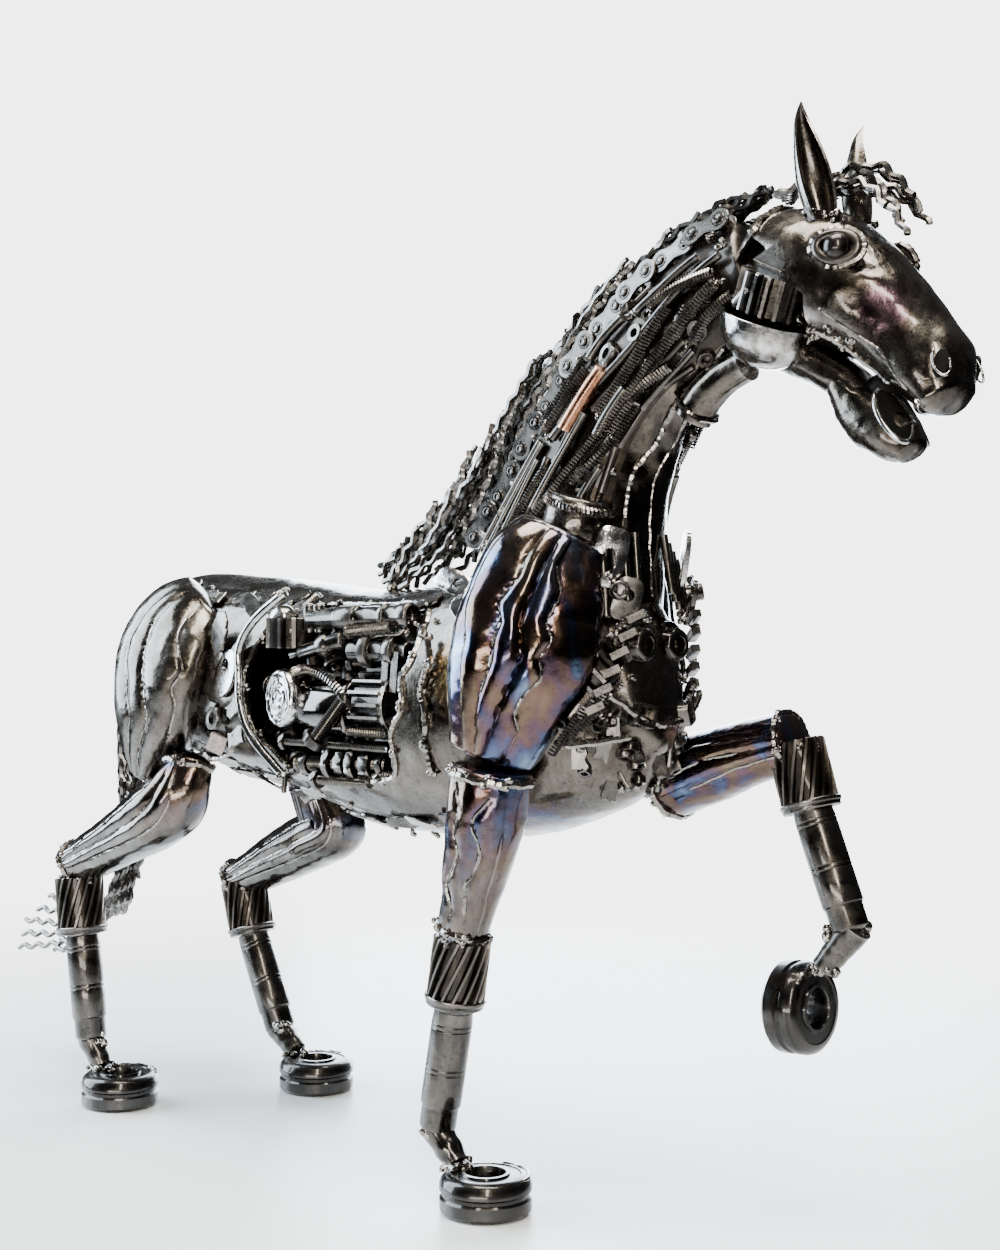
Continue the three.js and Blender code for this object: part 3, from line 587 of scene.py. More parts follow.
BLACK, SOOT, BROWN = (0.010, 0.009, 0.008), (0.028, 0.024, 0.02), (0.055, 0.042, 0.03)
GREY, PEWTER, PALE = (0.075, 0.064, 0.052), (0.14, 0.125, 0.106), (0.26, 0.245, 0.22)
FINISHES = {
    "shell": steel("shell_steel", BROWN, GREY, PEWTER, heat=[((0, -40, 190), (60, 60, 22))],
                   patches=[((-22, -66, 272), (13, 30, 26), (0.22, 0.14, 0.06))]),
    "heated": steel("heat_tinted_steel", SOOT, GREY, PEWTER, rough=(0.1, 0.26), dents=0.4,
                    heat=[((10, 0, 250), (500, 200, 130))], grime=0.35),
    "head": steel("head_steel", BROWN, GREY, PEWTER, mottle=16,
                  patches=[((206, -22, 437), (15, 30, 17), (0.07, 0.042, 0.05)),
                           ((165, -32, 432), (16, 30, 12), (0.24, 0.23, 0.22))]),
    "weld": steel("weld_metal", BROWN, GREY, PEWTER, rough=(0.1, 0.3), mottle=6, dents=0.6, wear=0.6),
    "machine": steel("machine_steel", BLACK, SOOT, GREY, rough=(0.16, 0.4), mottle=9, dents=0.12,
                     grime=0.7),
    "bright": steel("bright_steel", GREY, PALE, (0.66, 0.66, 0.66), rough=(0.08, 0.24), mottle=10,
                    dents=0.5),
    # near-black steel; where it makes the inner shells of the flank bay and of the head, it is painted shade
    # in those hollows
    "dark": steel("soot_black_steel_and_painted_shade", BLACK, SOOT, BROWN, rough=(0.25, 0.5), mottle=10, dents=0.3,
                  coat=0.25),
    "bearing": steel("blackened_steel", BLACK, (0.018, 0.015, 0.013), SOOT, rough=(0.2, 0.42), mottle=12,
                     dents=0.15, coat=0.5, grime=0.3, wear=0.3),
    "rod": steel("crimped_rod_steel", BLACK, (0.035, 0.033, 0.03), GREY, rough=(0.16, 0.34), mottle=8,
                 dents=0.1,
                 wear=0.5),
    "throat": steel("throat_steel", BLACK, (0.07, 0.06, 0.05), (0.15, 0.12, 0.09), rough=(0.12, 0.3),
                    mottle=18),
    "spring": steel("spring_steel", SOOT, (0.05, 0.047, 0.042), GREY, rough=(0.14, 0.32), mottle=8,
                    dents=0.1,
                    wear=0.7),
    "lens": steel("lens_metal", PEWTER, (0.5, 0.5, 0.5), (0.75, 0.76, 0.78), rough=(0.06, 0.3), mottle=4,
                  dents=0.9),
    "mirror": steel("drum_steel", BLACK, SOOT, GREY, rough=(0.05, 0.14), mottle=18, dents=0.1, coat=0.9),
    "copper": steel("coppered_steel", (0.09, 0.035, 0.02), (0.3, 0.11, 0.05), (0.42, 0.2, 0.11), mottle=6),
    # flat black for discs and a lump set in the nostrils and the mouth: painted shade in those openings
    "hollow": steel("painted_shade_black", (0.004, 0.004, 0.004), BLACK, BLACK, rough=(0.5, 0.8), coat=0.0,
                    wear=0.1),
    "red": lacquer("red_lacquer", (0.22, 0.03, 0.012), (0.5, 0.1, 0.04)),
}


# ---- body shells ---------------------------------------------------------------------------------
TORSO = [
    [-332, 0, 264, 18, 34, 26],
    [-314, 0, 266, 38, 52, 46],
    [-284, 0, 268, 53, 59, 53],
    [-245, 0, 267, 60, 58, 57],
    [-200, 0, 262, 62, 60, 62],
    [-150, 0, 255, 64, 62, 64],
    [-95, 0, 249, 67, 67, 68],
    [-40, 0, 252, 66, 72, 71],
    [8, 0, 262, 58, 74, 68],
    [40, 0, 272, 44, 62, 60],
    [58, 0, 276, 26, 46, 46],
]
NECK = [
    [12, 0, 318, 44, 60, 50],
    [35, 0, 372, 34, 47, 31],
    [62, 0, 413, 28, 42, 24],
    [98, 0, 446, 25, 37, 32],
    [132, 0, 462, 25, 32, 30],
]
HEAD = [
    [134, 0, 470, 26, 24, 24],
    [158, 0, 462, 33, 30, 30],
    [180, 0, 447, 31, 29, 27],
    [198, 0, 432, 25, 25, 20],
    [212, 0, 418, 22, 22, 17],
    [220, 0, 407, 20, 20, 15],
    [226, 0, 397, 17, 14, 10],
]
LOWER_JAW = [
    [143, 0, 432, 17, 10, 16],
    [162, 0, 419, 16, 9, 12],
    [179, 0, 408, 14, 8, 10],
    [190, 0, 395, 13, 7, 9],
    [200, 0, 384, 13, 7, 9],
    [207, 0, 381, 11, 6, 6],
]
HAUNCH = [
    [-242, -43, 312, 10, 26, 26],
    [-250, -49, 301, 16, 40, 40],
    [-258, -53, 287, 20, 47, 47],
    [-264, -55, 270, 23, 48, 48],
    [-268, -55, 245, 22, 40, 40],
    [-273, -53, 222, 18, 25, 25],
    [-278, -52, 206, 13, 13, 13],
]
SHOULDER = [
    [38, -42, 340, 12, 24, 24],
    [32, -49, 323, 19, 32, 32],
    [27, -52, 304, 23, 36, 36],
    [24, -54, 286, 25, 38, 38],
    [17, -56, 268, 24, 35, 35],
    [10, -57, 246, 21, 28, 28],
    [5, -58, 232, 19, 23, 23],
]
FOREARM = [
    [8, -60, 222, 20, 21, 22],
    [3, -60, 196, 18.5, 20, 20],
    [-6, -59, 166, 15, 16, 16],
    [-14, -59, 141, 13, 13.5, 13.5],
]
RIGHT_GASKIN = [
    [-240, -54, 216, 12, 15, 16],
    [-244, -58, 196, 18, 18, 20],
    [-260, -59, 184, 20, 20, 22],
    [-303, -57, 165, 17, 17, 17],
    [-335, -55, 152, 14, 15, 15],
    [-352, -55, 146, 13, 13, 13],
]
LEFT_GASKIN = [
    [-238, 52, 192, 13, 14, 15],
    [-228, 56, 170, 17, 17, 18],
    [-250, 57, 160, 19, 19, 19],
    [-286, 57, 144, 17, 17, 17],
    [-312, 56, 132, 14, 14, 14],
    [-326, 55, 126, 13, 13, 13],
]
LEFT_FOREARM = [
    [32, 55, 212, 21, 22, 20],
    [56, 56, 220, 19, 20, 19],
    [84, 57, 230, 17, 17, 17],
    [108, 57, 237, 15, 15, 16],
]
LEFT_SHOULDER_SHIFT = (-20, -7, 0)

# Weld lines between the muscles, as (t, degrees) places on each loft.
SHOULDER_LINES = [
    [(0.0, 236), (0.27, 234), (0.36, 231), (0.5, 222), (0.61, 220), (0.72, 214), (1, 208)],
    [(0.0, 192), (0.16, 190), (0.21, 188), (0.33, 197), (0.41, 190), (0.49, 194), (0.63, 190), (0.77, 194),
     (1, 188)],
    [(0.0, 172), (0.25, 174), (0.4, 176), (0.55, 170), (0.7, 174), (0.85, 178), (1, 178)],
    [(0.0, 160), (0.14, 162), (0.23, 151), (0.375, 157), (0.45, 151), (0.51, 157), (0.57, 151), (0.66, 157),
     (0.74, 159),
     (0.8, 150), (1, 150)],
]
HAUNCH_LINES = [
    [(0, 226), (0.3, 222), (0.55, 214), (0.8, 206), (1, 200)],
    [(0, 196), (0.39, 187), (0.54, 172), (0.68, 162), (0.8, 170), (1, 176)],
    [(0, 176), (0.23, 174), (0.35, 162), (0.54, 147), (0.66, 137), (0.75, 142), (0.9, 148), (1, 148)],
    [(0, 142), (0.125, 142), (0.22, 135), (0.375, 109), (0.54, 111), (0.61, 102), (0.775, 108), (1, 116)],
]
FOREARM_LINES = [
    [(0, 226), (0.3, 222), (0.7, 214), (1, 210)],
    [(0, 200), (0.08, 198), (0.25, 186), (0.375, 193), (0.475, 180), (0.67, 196), (0.8, 176), (1, 180)],
    [(0, 146), (0.144, 140), (0.28, 161), (0.425, 143), (0.55, 146), (0.65, 156), (0.86, 142), (1, 150)],
    [(0, 118), (0.5, 112), (1, 108)],
]
GASKIN_LINES = [
    [(0, 216), (0.29, 210), (0.575, 206), (0.94, 206), (1, 206)],
    [(0, 176), (0.2, 182), (0.45, 174), (0.7, 182), (1, 184)],
    [(0, 160), (0.09, 160), (0.26, 148), (0.425, 146), (0.76, 160), (1, 166)],
]

# Round the opening in a flank, clockwise as seen from the right, starting at the top of the rib.
FLANK_OPENING = [
    (-158, 308), (-170, 298), (-176, 284), (-181, 260), (-174, 236), (-163, 223), (-150, 214), (-116, 210),
    (-64, 216), (-58, 240), (-50, 254), (-52, 268), (-47, 281), (-54, 306), (-100, 307),
]
BAY_DEPTH = 30
PLATE_EDGE = 2.5  # thickness that shows at the edge of a sheet


def inside_outline(outline, x, z):
    """Whether each of some points is inside an outline of (x, z) corners."""
    inside = np.zeros(np.shape(x), bool)
    for (x0, z0), (x1, z1) in zip(outline, outline[1:] + outline[:1]):
        crosses = (z0 > z) != (z1 > z)
        inside ^= crosses & (x < (x1 - x0) * (z - z0) / (z1 - z0 + 1e-9) + x0)
    return inside


def onto_outline(outline, x, z):
    """The nearest place on an outline to each of some points."""
    best = np.full(np.shape(x), np.inf)
    near_x, near_z = x.copy(), z.copy()
    for (x0, z0), (x1, z1) in zip(outline, outline[1:] + outline[:1]):
        share = np.clip(((x - x0) * (x1 - x0) + (z - z0) * (z1 - z0)) / ((x1 - x0) ** 2 + (z1 - z0) ** 2),
                        0, 1)
        px, pz = x0 + share * (x1 - x0), z0 + share * (z1 - z0)
        away = np.hypot(px - x, pz - z)
        near_x, near_z = np.where(away < best, px, near_x), np.where(away < best, pz, near_z)
        best = np.minimum(best, away)
    return near_x, near_z


def opened(shape, outline, beyond, depth):
    """Cuts an outline of (x, z) corners out of a shape's skin on both sides of the horse, where |y| is beyond
    a limit, and turns the cut edge inwards by a depth."""
    points, faces = shape[0].copy(), shape[1]
    quads = faces[0]
    middle = points[quads].mean(axis=1)
    gone = (np.abs(middle[:, 1]) > beyond) & inside_outline(outline, middle[:, 0], middle[:, 2])
    kept, cut = quads[~gone], quads[gone]
    rim = np.intersect1d(kept, cut)
    points[rim, 0], points[rim, 2] = onto_outline(outline, points[rim, 0], points[rim, 2])
    edges = {(a, b) for face in kept for a, b in zip(face, np.roll(face, -1))}
    border = np.array([(a, b) for a, b in edges if (b, a) not in edges and a in set(rim) and b in set(rim)])
    index = {corner: len(points) + k for k, corner in enumerate(rim)}
    sunk = points[rim] - np.stack([np.zeros(len(rim)), np.sign(points[rim, 1]) * depth, np.zeros(len(rim))],
                                  axis=-1)
    walls = np.array([(b, a, index[a], index[b]) for a, b in border])
    return np.concatenate([points, sunk]), [kept, walls, *faces[1:]]


def shell(loft, rows, columns, swells=(), texture=()):
    rings = sculpted(loft.rings(rows, columns), swells, texture)
    return ring_body(rings, *loft.tips())


def seams(loft, lines, radius, seed, lift=-0.2):
    """Weld beads laid along lines on a loft."""
    return [bead(loft.line(line, lift), radius, seed + k) for k, line in enumerate(lines)]


def collar(loft, t, radius, seed, lift=0.3, degrees=(0, 360)):
    """A weld bead round a loft."""
    angles = np.linspace(*degrees, 40)
    wander = 0.008 * np.sin(np.radians(angles) * 5 + seed)
    return bead(loft.at(np.clip(t + wander, 0, 1), angles, lift), radius, seed)


def patchwork(t, degrees):
    """Overlapping bits of sheet along the top of the back, a millimetre thick."""
    along = np.floor(t * 13 + 0.6 * np.sin(degrees / 9))
    step = 0.9 * (np.sin(along * 12.9) > -0.2)
    top = np.exp(-(((degrees - 90) / 26) ** 2))
    return step * np.where(top > 0.35, 1, 0)


torso_loft = Loft(TORSO, (6, 10), relief=patchwork)
torso = Piece("torso", "shell", "torso")
torso_skin = shell(torso_loft, 160, 160, [
    swell((-205, -60, 232), (16, 20, 16), 3), swell((-205, 60, 232), (16, 20, 16), 3),
    swell((20, 0, 205), (40, 40, 14), 2), swell((-190, 0, 200), (30, 60, 12), -3),
], [(26, 0.8, 1), (7, 0.28, 2)])
torso.add("shell", opened(torso_skin, FLANK_OPENING, 34, PLATE_EDGE))
# The inner shell of the flank bay is near-black: painted shade inside the opening in the body.
inner = TORSO[1:-2]
bay = Loft([[x, y, z, across - BAY_DEPTH, above - 14, below - 14] for x, y, z, across, above,
            below in inner])
torso.add("dark", shell(bay, 40, 40, texture=[(9, 2, 3)]))

shoulder_loft = Loft(SHOULDER, roll=-24, relief=lobes(SHOULDER_LINES, 4.5, 0.0, 1.0, sharp=0.55))
shoulder = Piece("right_shoulder", "heated", "right_shoulder")
shoulder.add("heated", shell(shoulder_loft, 100, 160, [], [(18, 0.7, 5), (6, 0.22, 6)]))
shoulder.add("weld", *seams(shoulder_loft, [line[1:-1] for line in SHOULDER_LINES
                                            if line != SHOULDER_LINES[2]], 1.0, 10))
left_shoulder = shoulder.mirror("left_shoulder", "left_shoulder")
left_shoulder.put(lambda shape: moved(shape, LEFT_SHOULDER_SHIFT))

haunch_loft = Loft(HAUNCH, roll=20, relief=lobes(HAUNCH_LINES, 3.8, 0.02, 1.0, sharp=0.55))
haunch = Piece("right_haunch", "shell", "right_haunch")
haunch.add("shell", shell(haunch_loft, 100, 150, [], [(20, 0.8, 7), (6, 0.25, 8)]))
haunch.add("weld", *seams(haunch_loft, [line[1:-1] for line in HAUNCH_LINES[1:]], 1.1, 20))
left_haunch = haunch.mirror("left_haunch", "left_haunch")

for piece in (torso, shoulder, left_shoulder, haunch, left_haunch):
    piece.build()

# ---- legs ----------------------------------------------------------------------------------------
PINION = {"teeth": 16, "tip": 15, "root": 12.4, "length": 31, "collar": 16, "collar_length": 4.5,
          "twist": 0.75}
SHANK = {"radius": 10.6, "step": 9.6}
PASTERN = {"radius": 8, "end": 6.5}
# Each leg: its upper shell and its weld lines, then its pinion, fetlock, heel, and its hoof's sole and axis.
LEGS = {
    "right_fore": ("right_forearm", FOREARM, FOREARM_LINES, "knee",
                   [(-14, -59, 137), (-20, -59, 100)], (-33, -58, 36), (-19, -58, 21), (0, -57, 0),
                   (0, 0, 1)),
    "right_hind": ("right_gaskin", RIGHT_GASKIN, GASKIN_LINES, "hock",
                   [(-350, -55, 137), (-346, -55, 101)], (-338, -54, 36), (-328, -53, 21), (-311, -52, 0),
                   (0, 0, 1)),
    "left_hind": ("left_gaskin", LEFT_GASKIN, GASKIN_LINES, "hock",
                  [(-321, 55, 126), (-311, 55, 92)], (-283, 55, 32), (-268, 55, 21), (-249, 55, 0),
                  (0, 0, 1)),
    "left_fore": ("left_forearm", LEFT_FOREARM, GASKIN_LINES, "knee",
                  [(110, 57, 236), (120, 57, 203)], (144, 56, 143), (129, 54, 124), (107, 52, 102),
                  (1, 0, 0.05)),
}
STIFLE = [(-254, 50, 222), (-250, 52, 200), (-243, 56, 170)]


def lerp(a, b, share):
    return np.asarray(a, float) + (np.asarray(b, float) - a) * share


def upper_leg(name, stations, lines, seed):
    loft = Loft(stations, (5, 4), relief=lobes(lines, 2.6, 0.0, 1.0, sharp=0.55))
    piece = Piece(name, "heated", name)
    piece.add("heated", shell(loft, 76, 88, [], [(14, 0.6, seed), (5, 0.2, seed + 1)]))
    piece.add("weld", *seams(loft, [line[1:-1] for line in lines[:3]], 1.0, seed))
    piece.add("weld", collar(loft, 0.99, 1.9, seed), collar(loft, 0.03, 2.0, seed + 4))
    piece.add("weld", spatter(loft.at([0.02] * 5 + [0.98] * 4,
                                      [120, 150, 180, 210, 235, 130, 170, 200, 230]), 2.6, seed))
    return piece


def pinion(top, bottom, seed):
    """A helical pinion with its flange, standing on its own shaft."""
    p = PINION
    wheel = gear(p["teeth"], p["tip"], p["root"], p["length"], p["twist"])
    flange = turned([(0, p["length"] - 0.4), (p["collar"], p["length"] - 0.4),
                     (p["collar"], p["length"] + 1.6),
                     (p["collar"] - 0.9, p["length"] + 2.2), (p["collar"] - 0.9, p["length"] + 4.5),
                     (0, p["length"] + 4.5)], 48, soft=0.5)
    crown = [lerp(top, bottom, 0.04) + 11.5 * (math.cos(a) * X + math.sin(a) * Y)
             for a in np.linspace(0, 2 * math.pi, 9)]
    return between(wheel, top, bottom), between(flange, top, bottom), spatter(crown, 2.4, seed)


def shank(top, bottom):
    """The turned shaft below a pinion, with its shallow grooves and a step down near the fetlock."""
    length = np.linalg.norm(np.subtract(bottom, top))
    wide, thin = SHANK["radius"], SHANK["step"]
    grooves = []
    for share in (0.1, 0.14, 0.46, 0.5):
        z = length * share
        grooves += [(wide, z), (wide - 0.25, z + 0.4), (wide, z + 0.8)]
    profile = [(0, 0), (wide - 0.6, 0), *grooves, (wide, length * 0.78), (wide - 0.7, length * 0.79)]
    profile += [(wide - 0.7, length * 0.8), (thin, length * 0.8), (thin, length - 2), (thin - 2, length),
                (0, length)]
    return lathe(profile, top, bottom, 40)


def pastern(fetlock, heel, seed):
    """A short bent rod, and the lumps of weld that hold it to the shaft and to the hoof."""
    dice = random.Random(seed)
    path = spaced([lerp(fetlock, heel, -0.15), lerp(fetlock, heel, 0.5), heel], 1.5)
    girth = np.linspace(PASTERN["radius"] + 0.6, PASTERN["end"],
                        len(path)) * (1 + 0.1 * lumps(path, 5, seed))
    knuckle = [lerp(fetlock, heel, s) + [dice.uniform(-5, 5) for _ in range(3)]
               for s in (-0.1, 0.0, 0.1, 0.3)]
    foot = [heel + np.array([6 * math.cos(a), 6 * math.sin(a), -1.0])
            for a in np.linspace(0, 2 * math.pi, 7)]
    return tube(path, girth, 16), spatter(knuckle, 4.2, seed), spatter(foot, 2.8, seed + 1)


def hoof(sole, axis, seed):
    """A double-row ring bearing: a groove round its middle, chamfered edges and the inner ring's shoulder."""
    r, bore, h, g = (HOOF[key] for key in ("radius", "bore", "height", "groove"))
    outer = [(r - 2, 0), (r, 2), (r, 7.6), (r - g, 8.8), (r - g, 10.4), (r, 11.6), (r, 15), (r - 0.5, 15.6),
             (r - 0.7, 17.2), (r - 3, 19.2), (r - 5.5, 19.4), (r - 6, 18.9), (bore + 2.6, 18.9),
             (bore + 2.2, h),
             (bore + 0.5, h), (bore, h - 0.8), (bore, 0.8), (bore + 0.6, 0), (r - 2, 0)]
    angles = np.linspace(0, 2 * math.pi, 72, endpoint=False)
    rings = [np.stack([a * np.cos(angles), a * np.sin(angles), np.full(72, z)], axis=-1) for a, z in outer]
    ring = ring_body(rings)
    rim = [((r - 1.6) * math.cos(a), (r - 1.6) * math.sin(a), 18.6) for a in np.linspace(-0.5, 1.2, 14)]
    run = bead(rim, 1.1, seed)
    end = np.add(sole, axis)
    return between(ring, sole, end), between(run, sole, end, 40 * seed)


for number, (leg, (upper, stations, lines, joint, line, fetlock, heel, sole,
                   axis)) in enumerate(LEGS.items()):
    top, bottom = line
    piece = upper_leg(upper, stations, lines, 30 + 5 * number)
    if leg == "left_hind":
        path = spaced(STIFLE, 2)
        piece.add("heated", tube(path, np.linspace(17, 15.5, len(path)), 32))
        piece.add("weld", bead([p + np.array([9, -13, 0]) for p in STIFLE], 1.3, 3))
    piece.build()
    wheel, flange, crown = pinion(top, bottom, number)
    Piece(f"{leg}_{joint}_pinion", "machine", f"{leg}_{joint}_pinion").add("dark", wheel).add("machine",
                                                                                              flange).add(
        "weld", crown).build()
    Piece(f"{leg}_shank", "machine", f"{leg}_shank").add("machine", shank(bottom, fetlock)).build()
    rod, knuckle, foot = pastern(np.array(fetlock, float), np.array(heel, float), 50 + number)
    Piece(f"{leg}_pastern", "machine", f"{leg}_pastern").add("machine", rod).add("weld", knuckle,
                                                                                 foot).build()
    ring, run = hoof(sole, axis, number + 1)
    Piece(f"{leg}_hoof", "bearing", f"{leg}_hoof").add("bearing", ring).add("weld", run).build()


# ---- fittings ------------------------------------------------------------------------------------
def laid(shape, origin, along, normal):
    """Lays a shape down at a place, its own +X along one direction and its own +Z along another."""
    along = unit(along)
    normal = unit(np.asarray(normal, float) - along * np.dot(normal, along))
    return shape[0] @ np.array([along, np.cross(normal, along), normal]) + np.asarray(origin,
                                                                                      float), shape[1]


def ellipse(wide, tall, count=28, centre=(0, 0), square=0.0):
    """An outline from an oval towards a rounded rectangle."""
    turn = np.linspace(0, 2 * math.pi, count, endpoint=False)
    power = 1 - 0.62 * square
    c, s = np.cos(turn), np.sin(turn)
    return np.column_stack([centre[0] + wide * np.sign(c) * np.abs(c) ** power,
                            centre[1] + tall * np.sign(s) * np.abs(s) ** power])


def coil(path, radius, wire=0.8, pitch=2.0, sides=4):
    """A coil spring along a path."""
    centre = spaced(path, pitch / COIL_STEPS)
    along = unit(np.gradient(centre, axis=0))
    side = unit(np.cross(along, Y if abs(along[0][1]) < 0.9 else X))
    other = np.cross(along, side)
    angle = np.arange(len(centre))[:, None] * 2 * math.pi / COIL_STEPS
    return tube(centre + (radius - wire) * (np.cos(angle) * side + np.sin(angle) * other), wire, sides)


def crimped(path, radius=1.65, wave=12.0, swing=1.2, phase=0.0, lean=0.0, sides=6):
    """A round rod crimped into waves along a path."""
    points = spaced(path, ROD_STEP)
    along = unit(np.gradient(points, axis=0))
    side = unit(np.cross(along, Y))
    other = np.cross(along, side)
    angle = 2 * math.pi * np.arange(len(points)) * ROD_STEP / wave + phase
    height = (swing * (np.sin(angle) - 0.12 * np.sin(3 * angle)))[:, None]
    return tube(points + height * (math.cos(lean) * side + math.sin(lean) * other), radius, sides)


def hexnut(place, facing, across, thickness, inner=None, turn=0.0, sides=6):
    return between(nut(across, inner or across * 0.28, thickness, sides), place, np.add(place, facing),
                   turn)


# ---- neck ----------------------------------------------------------------------------------------
CHAIN = {"eye": 6.2, "waist": 4.0, "thickness": 1.5, "pin": 2.4}
CHAIN_PIVOTS = [(0.95, 118), (0.84, 120), (0.735, 121), (0.63, 121), (0.525, 120), (0.42, 119),
                (0.315, 118),
                (0.21, 117), (0.105, 116), (0.01, 116)]
neck_loft = Loft(NECK, (4, 4))


def on_neck(places, lift):
    return neck_loft.line(places, lift) if len(places) > 2 else neck_loft.at(*np.transpose(places), lift)


def neck_skin():
    """The dark sides of the neck and its smooth throat, as two shapes with one set of points."""
    rows, columns = 90, 100
    rings = sculpted(neck_loft.rings(rows, columns), [], [(12, 0.8, 41), (4, 0.25, 42)])
    points, faces = ring_body(rings, *neck_loft.tips())
    column = np.tile(np.arange(columns), len(faces[0]) // columns) * 360 / columns
    throat = (column > 226) & (column < 346)
    return (points, [faces[0][throat]]), (points, [faces[0][~throat], *faces[1:]])


def chain_plate(pitch):
    """A figure-of-eight plate along +X with its two pins and the bush rings round them."""
    eye, waist, thick, pin = (CHAIN[key] for key in ("eye", "waist", "thickness", "pin"))
    left = [(eye * math.cos(a), eye * math.sin(a)) for a in np.radians(np.linspace(55, 305, 16))]
    right = [(pitch - x, -y) for x, y in left]
    outline = [*left, (pitch / 2, -waist), *right, (pitch / 2, waist)]
    plate = slab(outline, thick, soft=0.35)
    head = turned([(0, 0), (pin, 0), (pin, 1.1), (pin - 0.6, 1.7), (pin * 0.45, 1.4), (0, 1.4)], 18)
    bush = washer(pin + 1.5, pin + 0.3, 0.5)
    return join(plate, *[moved(part, (x, 0, thick - 0.1)) for x in (0, pitch) for part in (head, bush)])


def chain():
    pivots = neck_loft.at(*np.transpose(CHAIN_PIVOTS), 3.5)
    plates = []
    for k, (start, end) in enumerate(zip(pivots, pivots[1:])):
        gap = np.linalg.norm(end - start)
        along = unit(end - start)
        facing = unit(np.array([0.3, -0.8, 0.42]))
        normal = unit(facing - along * np.dot(facing, along))
        first = start + along * (gap - 15.9) / 2 + normal * (0.4 if k % 2 else 2.4)
        plates.append(laid(chain_plate(15.9), first, along, normal))
        if k % 2 == 0:
            plates.append(laid(chain_plate(15.9), first - normal * 6.5, along, normal))
        roller = turned([(0, -7), (4.2, -7), (4.2, 0), (0, 0)], 18)
        plates += [laid(roller, first + along * x, along, normal) for x in (0, 15.9)]
    return plates


def neck_filling(seed):
    """Short rods, springs, nuts and blobs packed along the neck under its longer parts."""
    dice = random.Random(seed)
    dark, bright = [], []
    for k in range(NECK_BITS):
        t, degrees = dice.uniform(0.04, 0.9), dice.uniform(128, 222)
        reach = dice.uniform(0.03, 0.08)
        ends = [(t - reach, degrees + dice.uniform(-6, 6)), (t + reach, degrees + dice.uniform(-6, 6))]
        path = on_neck(ends, dice.uniform(0.4, 1.8))
        kind = k % 6
        if kind == 0:
            bright.append(coil(path, dice.uniform(2.0, 2.8), 0.6, 1.7))
        elif kind == 1:
            dark.append(bolt(path[0], path[1], dice.uniform(1.8, 2.6), turn=dice.uniform(0, 60)))
        elif kind == 2:
            outward = path[1] - neck_loft.frames(np.array([t]))[0][0][:3]
            bright.append(hexnut(path[0], outward, dice.uniform(6, 9), 3, turn=dice.uniform(0, 60)))
        elif kind == 3:
            bright.append(blob(path[0], dice.uniform(1.6, 3.0), k, rough=0.4, rows=6, columns=10))
        else:
            dark.append(tube(spaced(path, 2), dice.uniform(1.2, 2.4), 10))
    return dark, bright


LONG_SPRINGS = [
    ([(0.9, 181), (0.488, 199), (0.144, 175)], 3.5), ([(0.9, 172), (0.763, 165), (0.69, 162)], 3.1),
    ([(0.738, 173), (0.56, 182), (0.42, 183)], 3.2), ([(0.481, 153), (0.356, 150), (0.3, 149)], 3.0),
    ([(0.64, 209), (0.55, 203), (0.5, 201)], 3.2), ([(0.513, 208), (0.45, 208), (0.394, 207)], 4.2),
    ([(0.24, 167), (0.131, 163), (0.08, 161)], 3.0), ([(0.7, 190), (0.44, 212), (0.24, 190)], 2.6),
    ([(0.95, 196), (0.84, 198), (0.74, 206)], 3.4), ([(0.5, 141), (0.4, 138), (0.3, 138)], 2.4),
]
NECK_RODS = [
    ([(0.94, 160), (0.6, 172), (0.3, 158)], 2.3), ([(0.52, 193), (0.44, 193), (0.375, 194)], 3.2),
    ([(0.275, 145), (0.15, 143), (0.02, 142)], 1.7), ([(0.275, 150), (0.15, 149), (0.02, 149)], 1.7),
    ([(0.24, 154), (0.14, 155), (0.03, 156)], 1.6), ([(0.86, 150), (0.75, 154), (0.66, 153)], 2.2),
    ([(0.62, 146), (0.56, 144), (0.5, 146)], 2.6), ([(0.3, 208), (0.24, 204), (0.16, 200)], 2.4),
    ([(0.72, 212), (0.62, 216), (0.5, 218)], 2.0), ([(0.4, 172), (0.3, 172), (0.16, 170)], 2.2),
]
neck = Piece("neck", "shell", "neck", "right_neck_springs", "left_neck_springs")
throat, flesh = neck_skin()
neck.add("throat", throat).add("dark", flesh)
front = [(0.06, 250), (0.3, 240), (0.42, 252), (0.55, 246), (0.68, 238), (0.8, 230)]
neck.add("weld", bead(on_neck(front, 0.2), 1.4, 61),
         bead(on_neck([(t, d + 26) for t, d in front[:4]], 0), 0.9, 62))
neck.build()

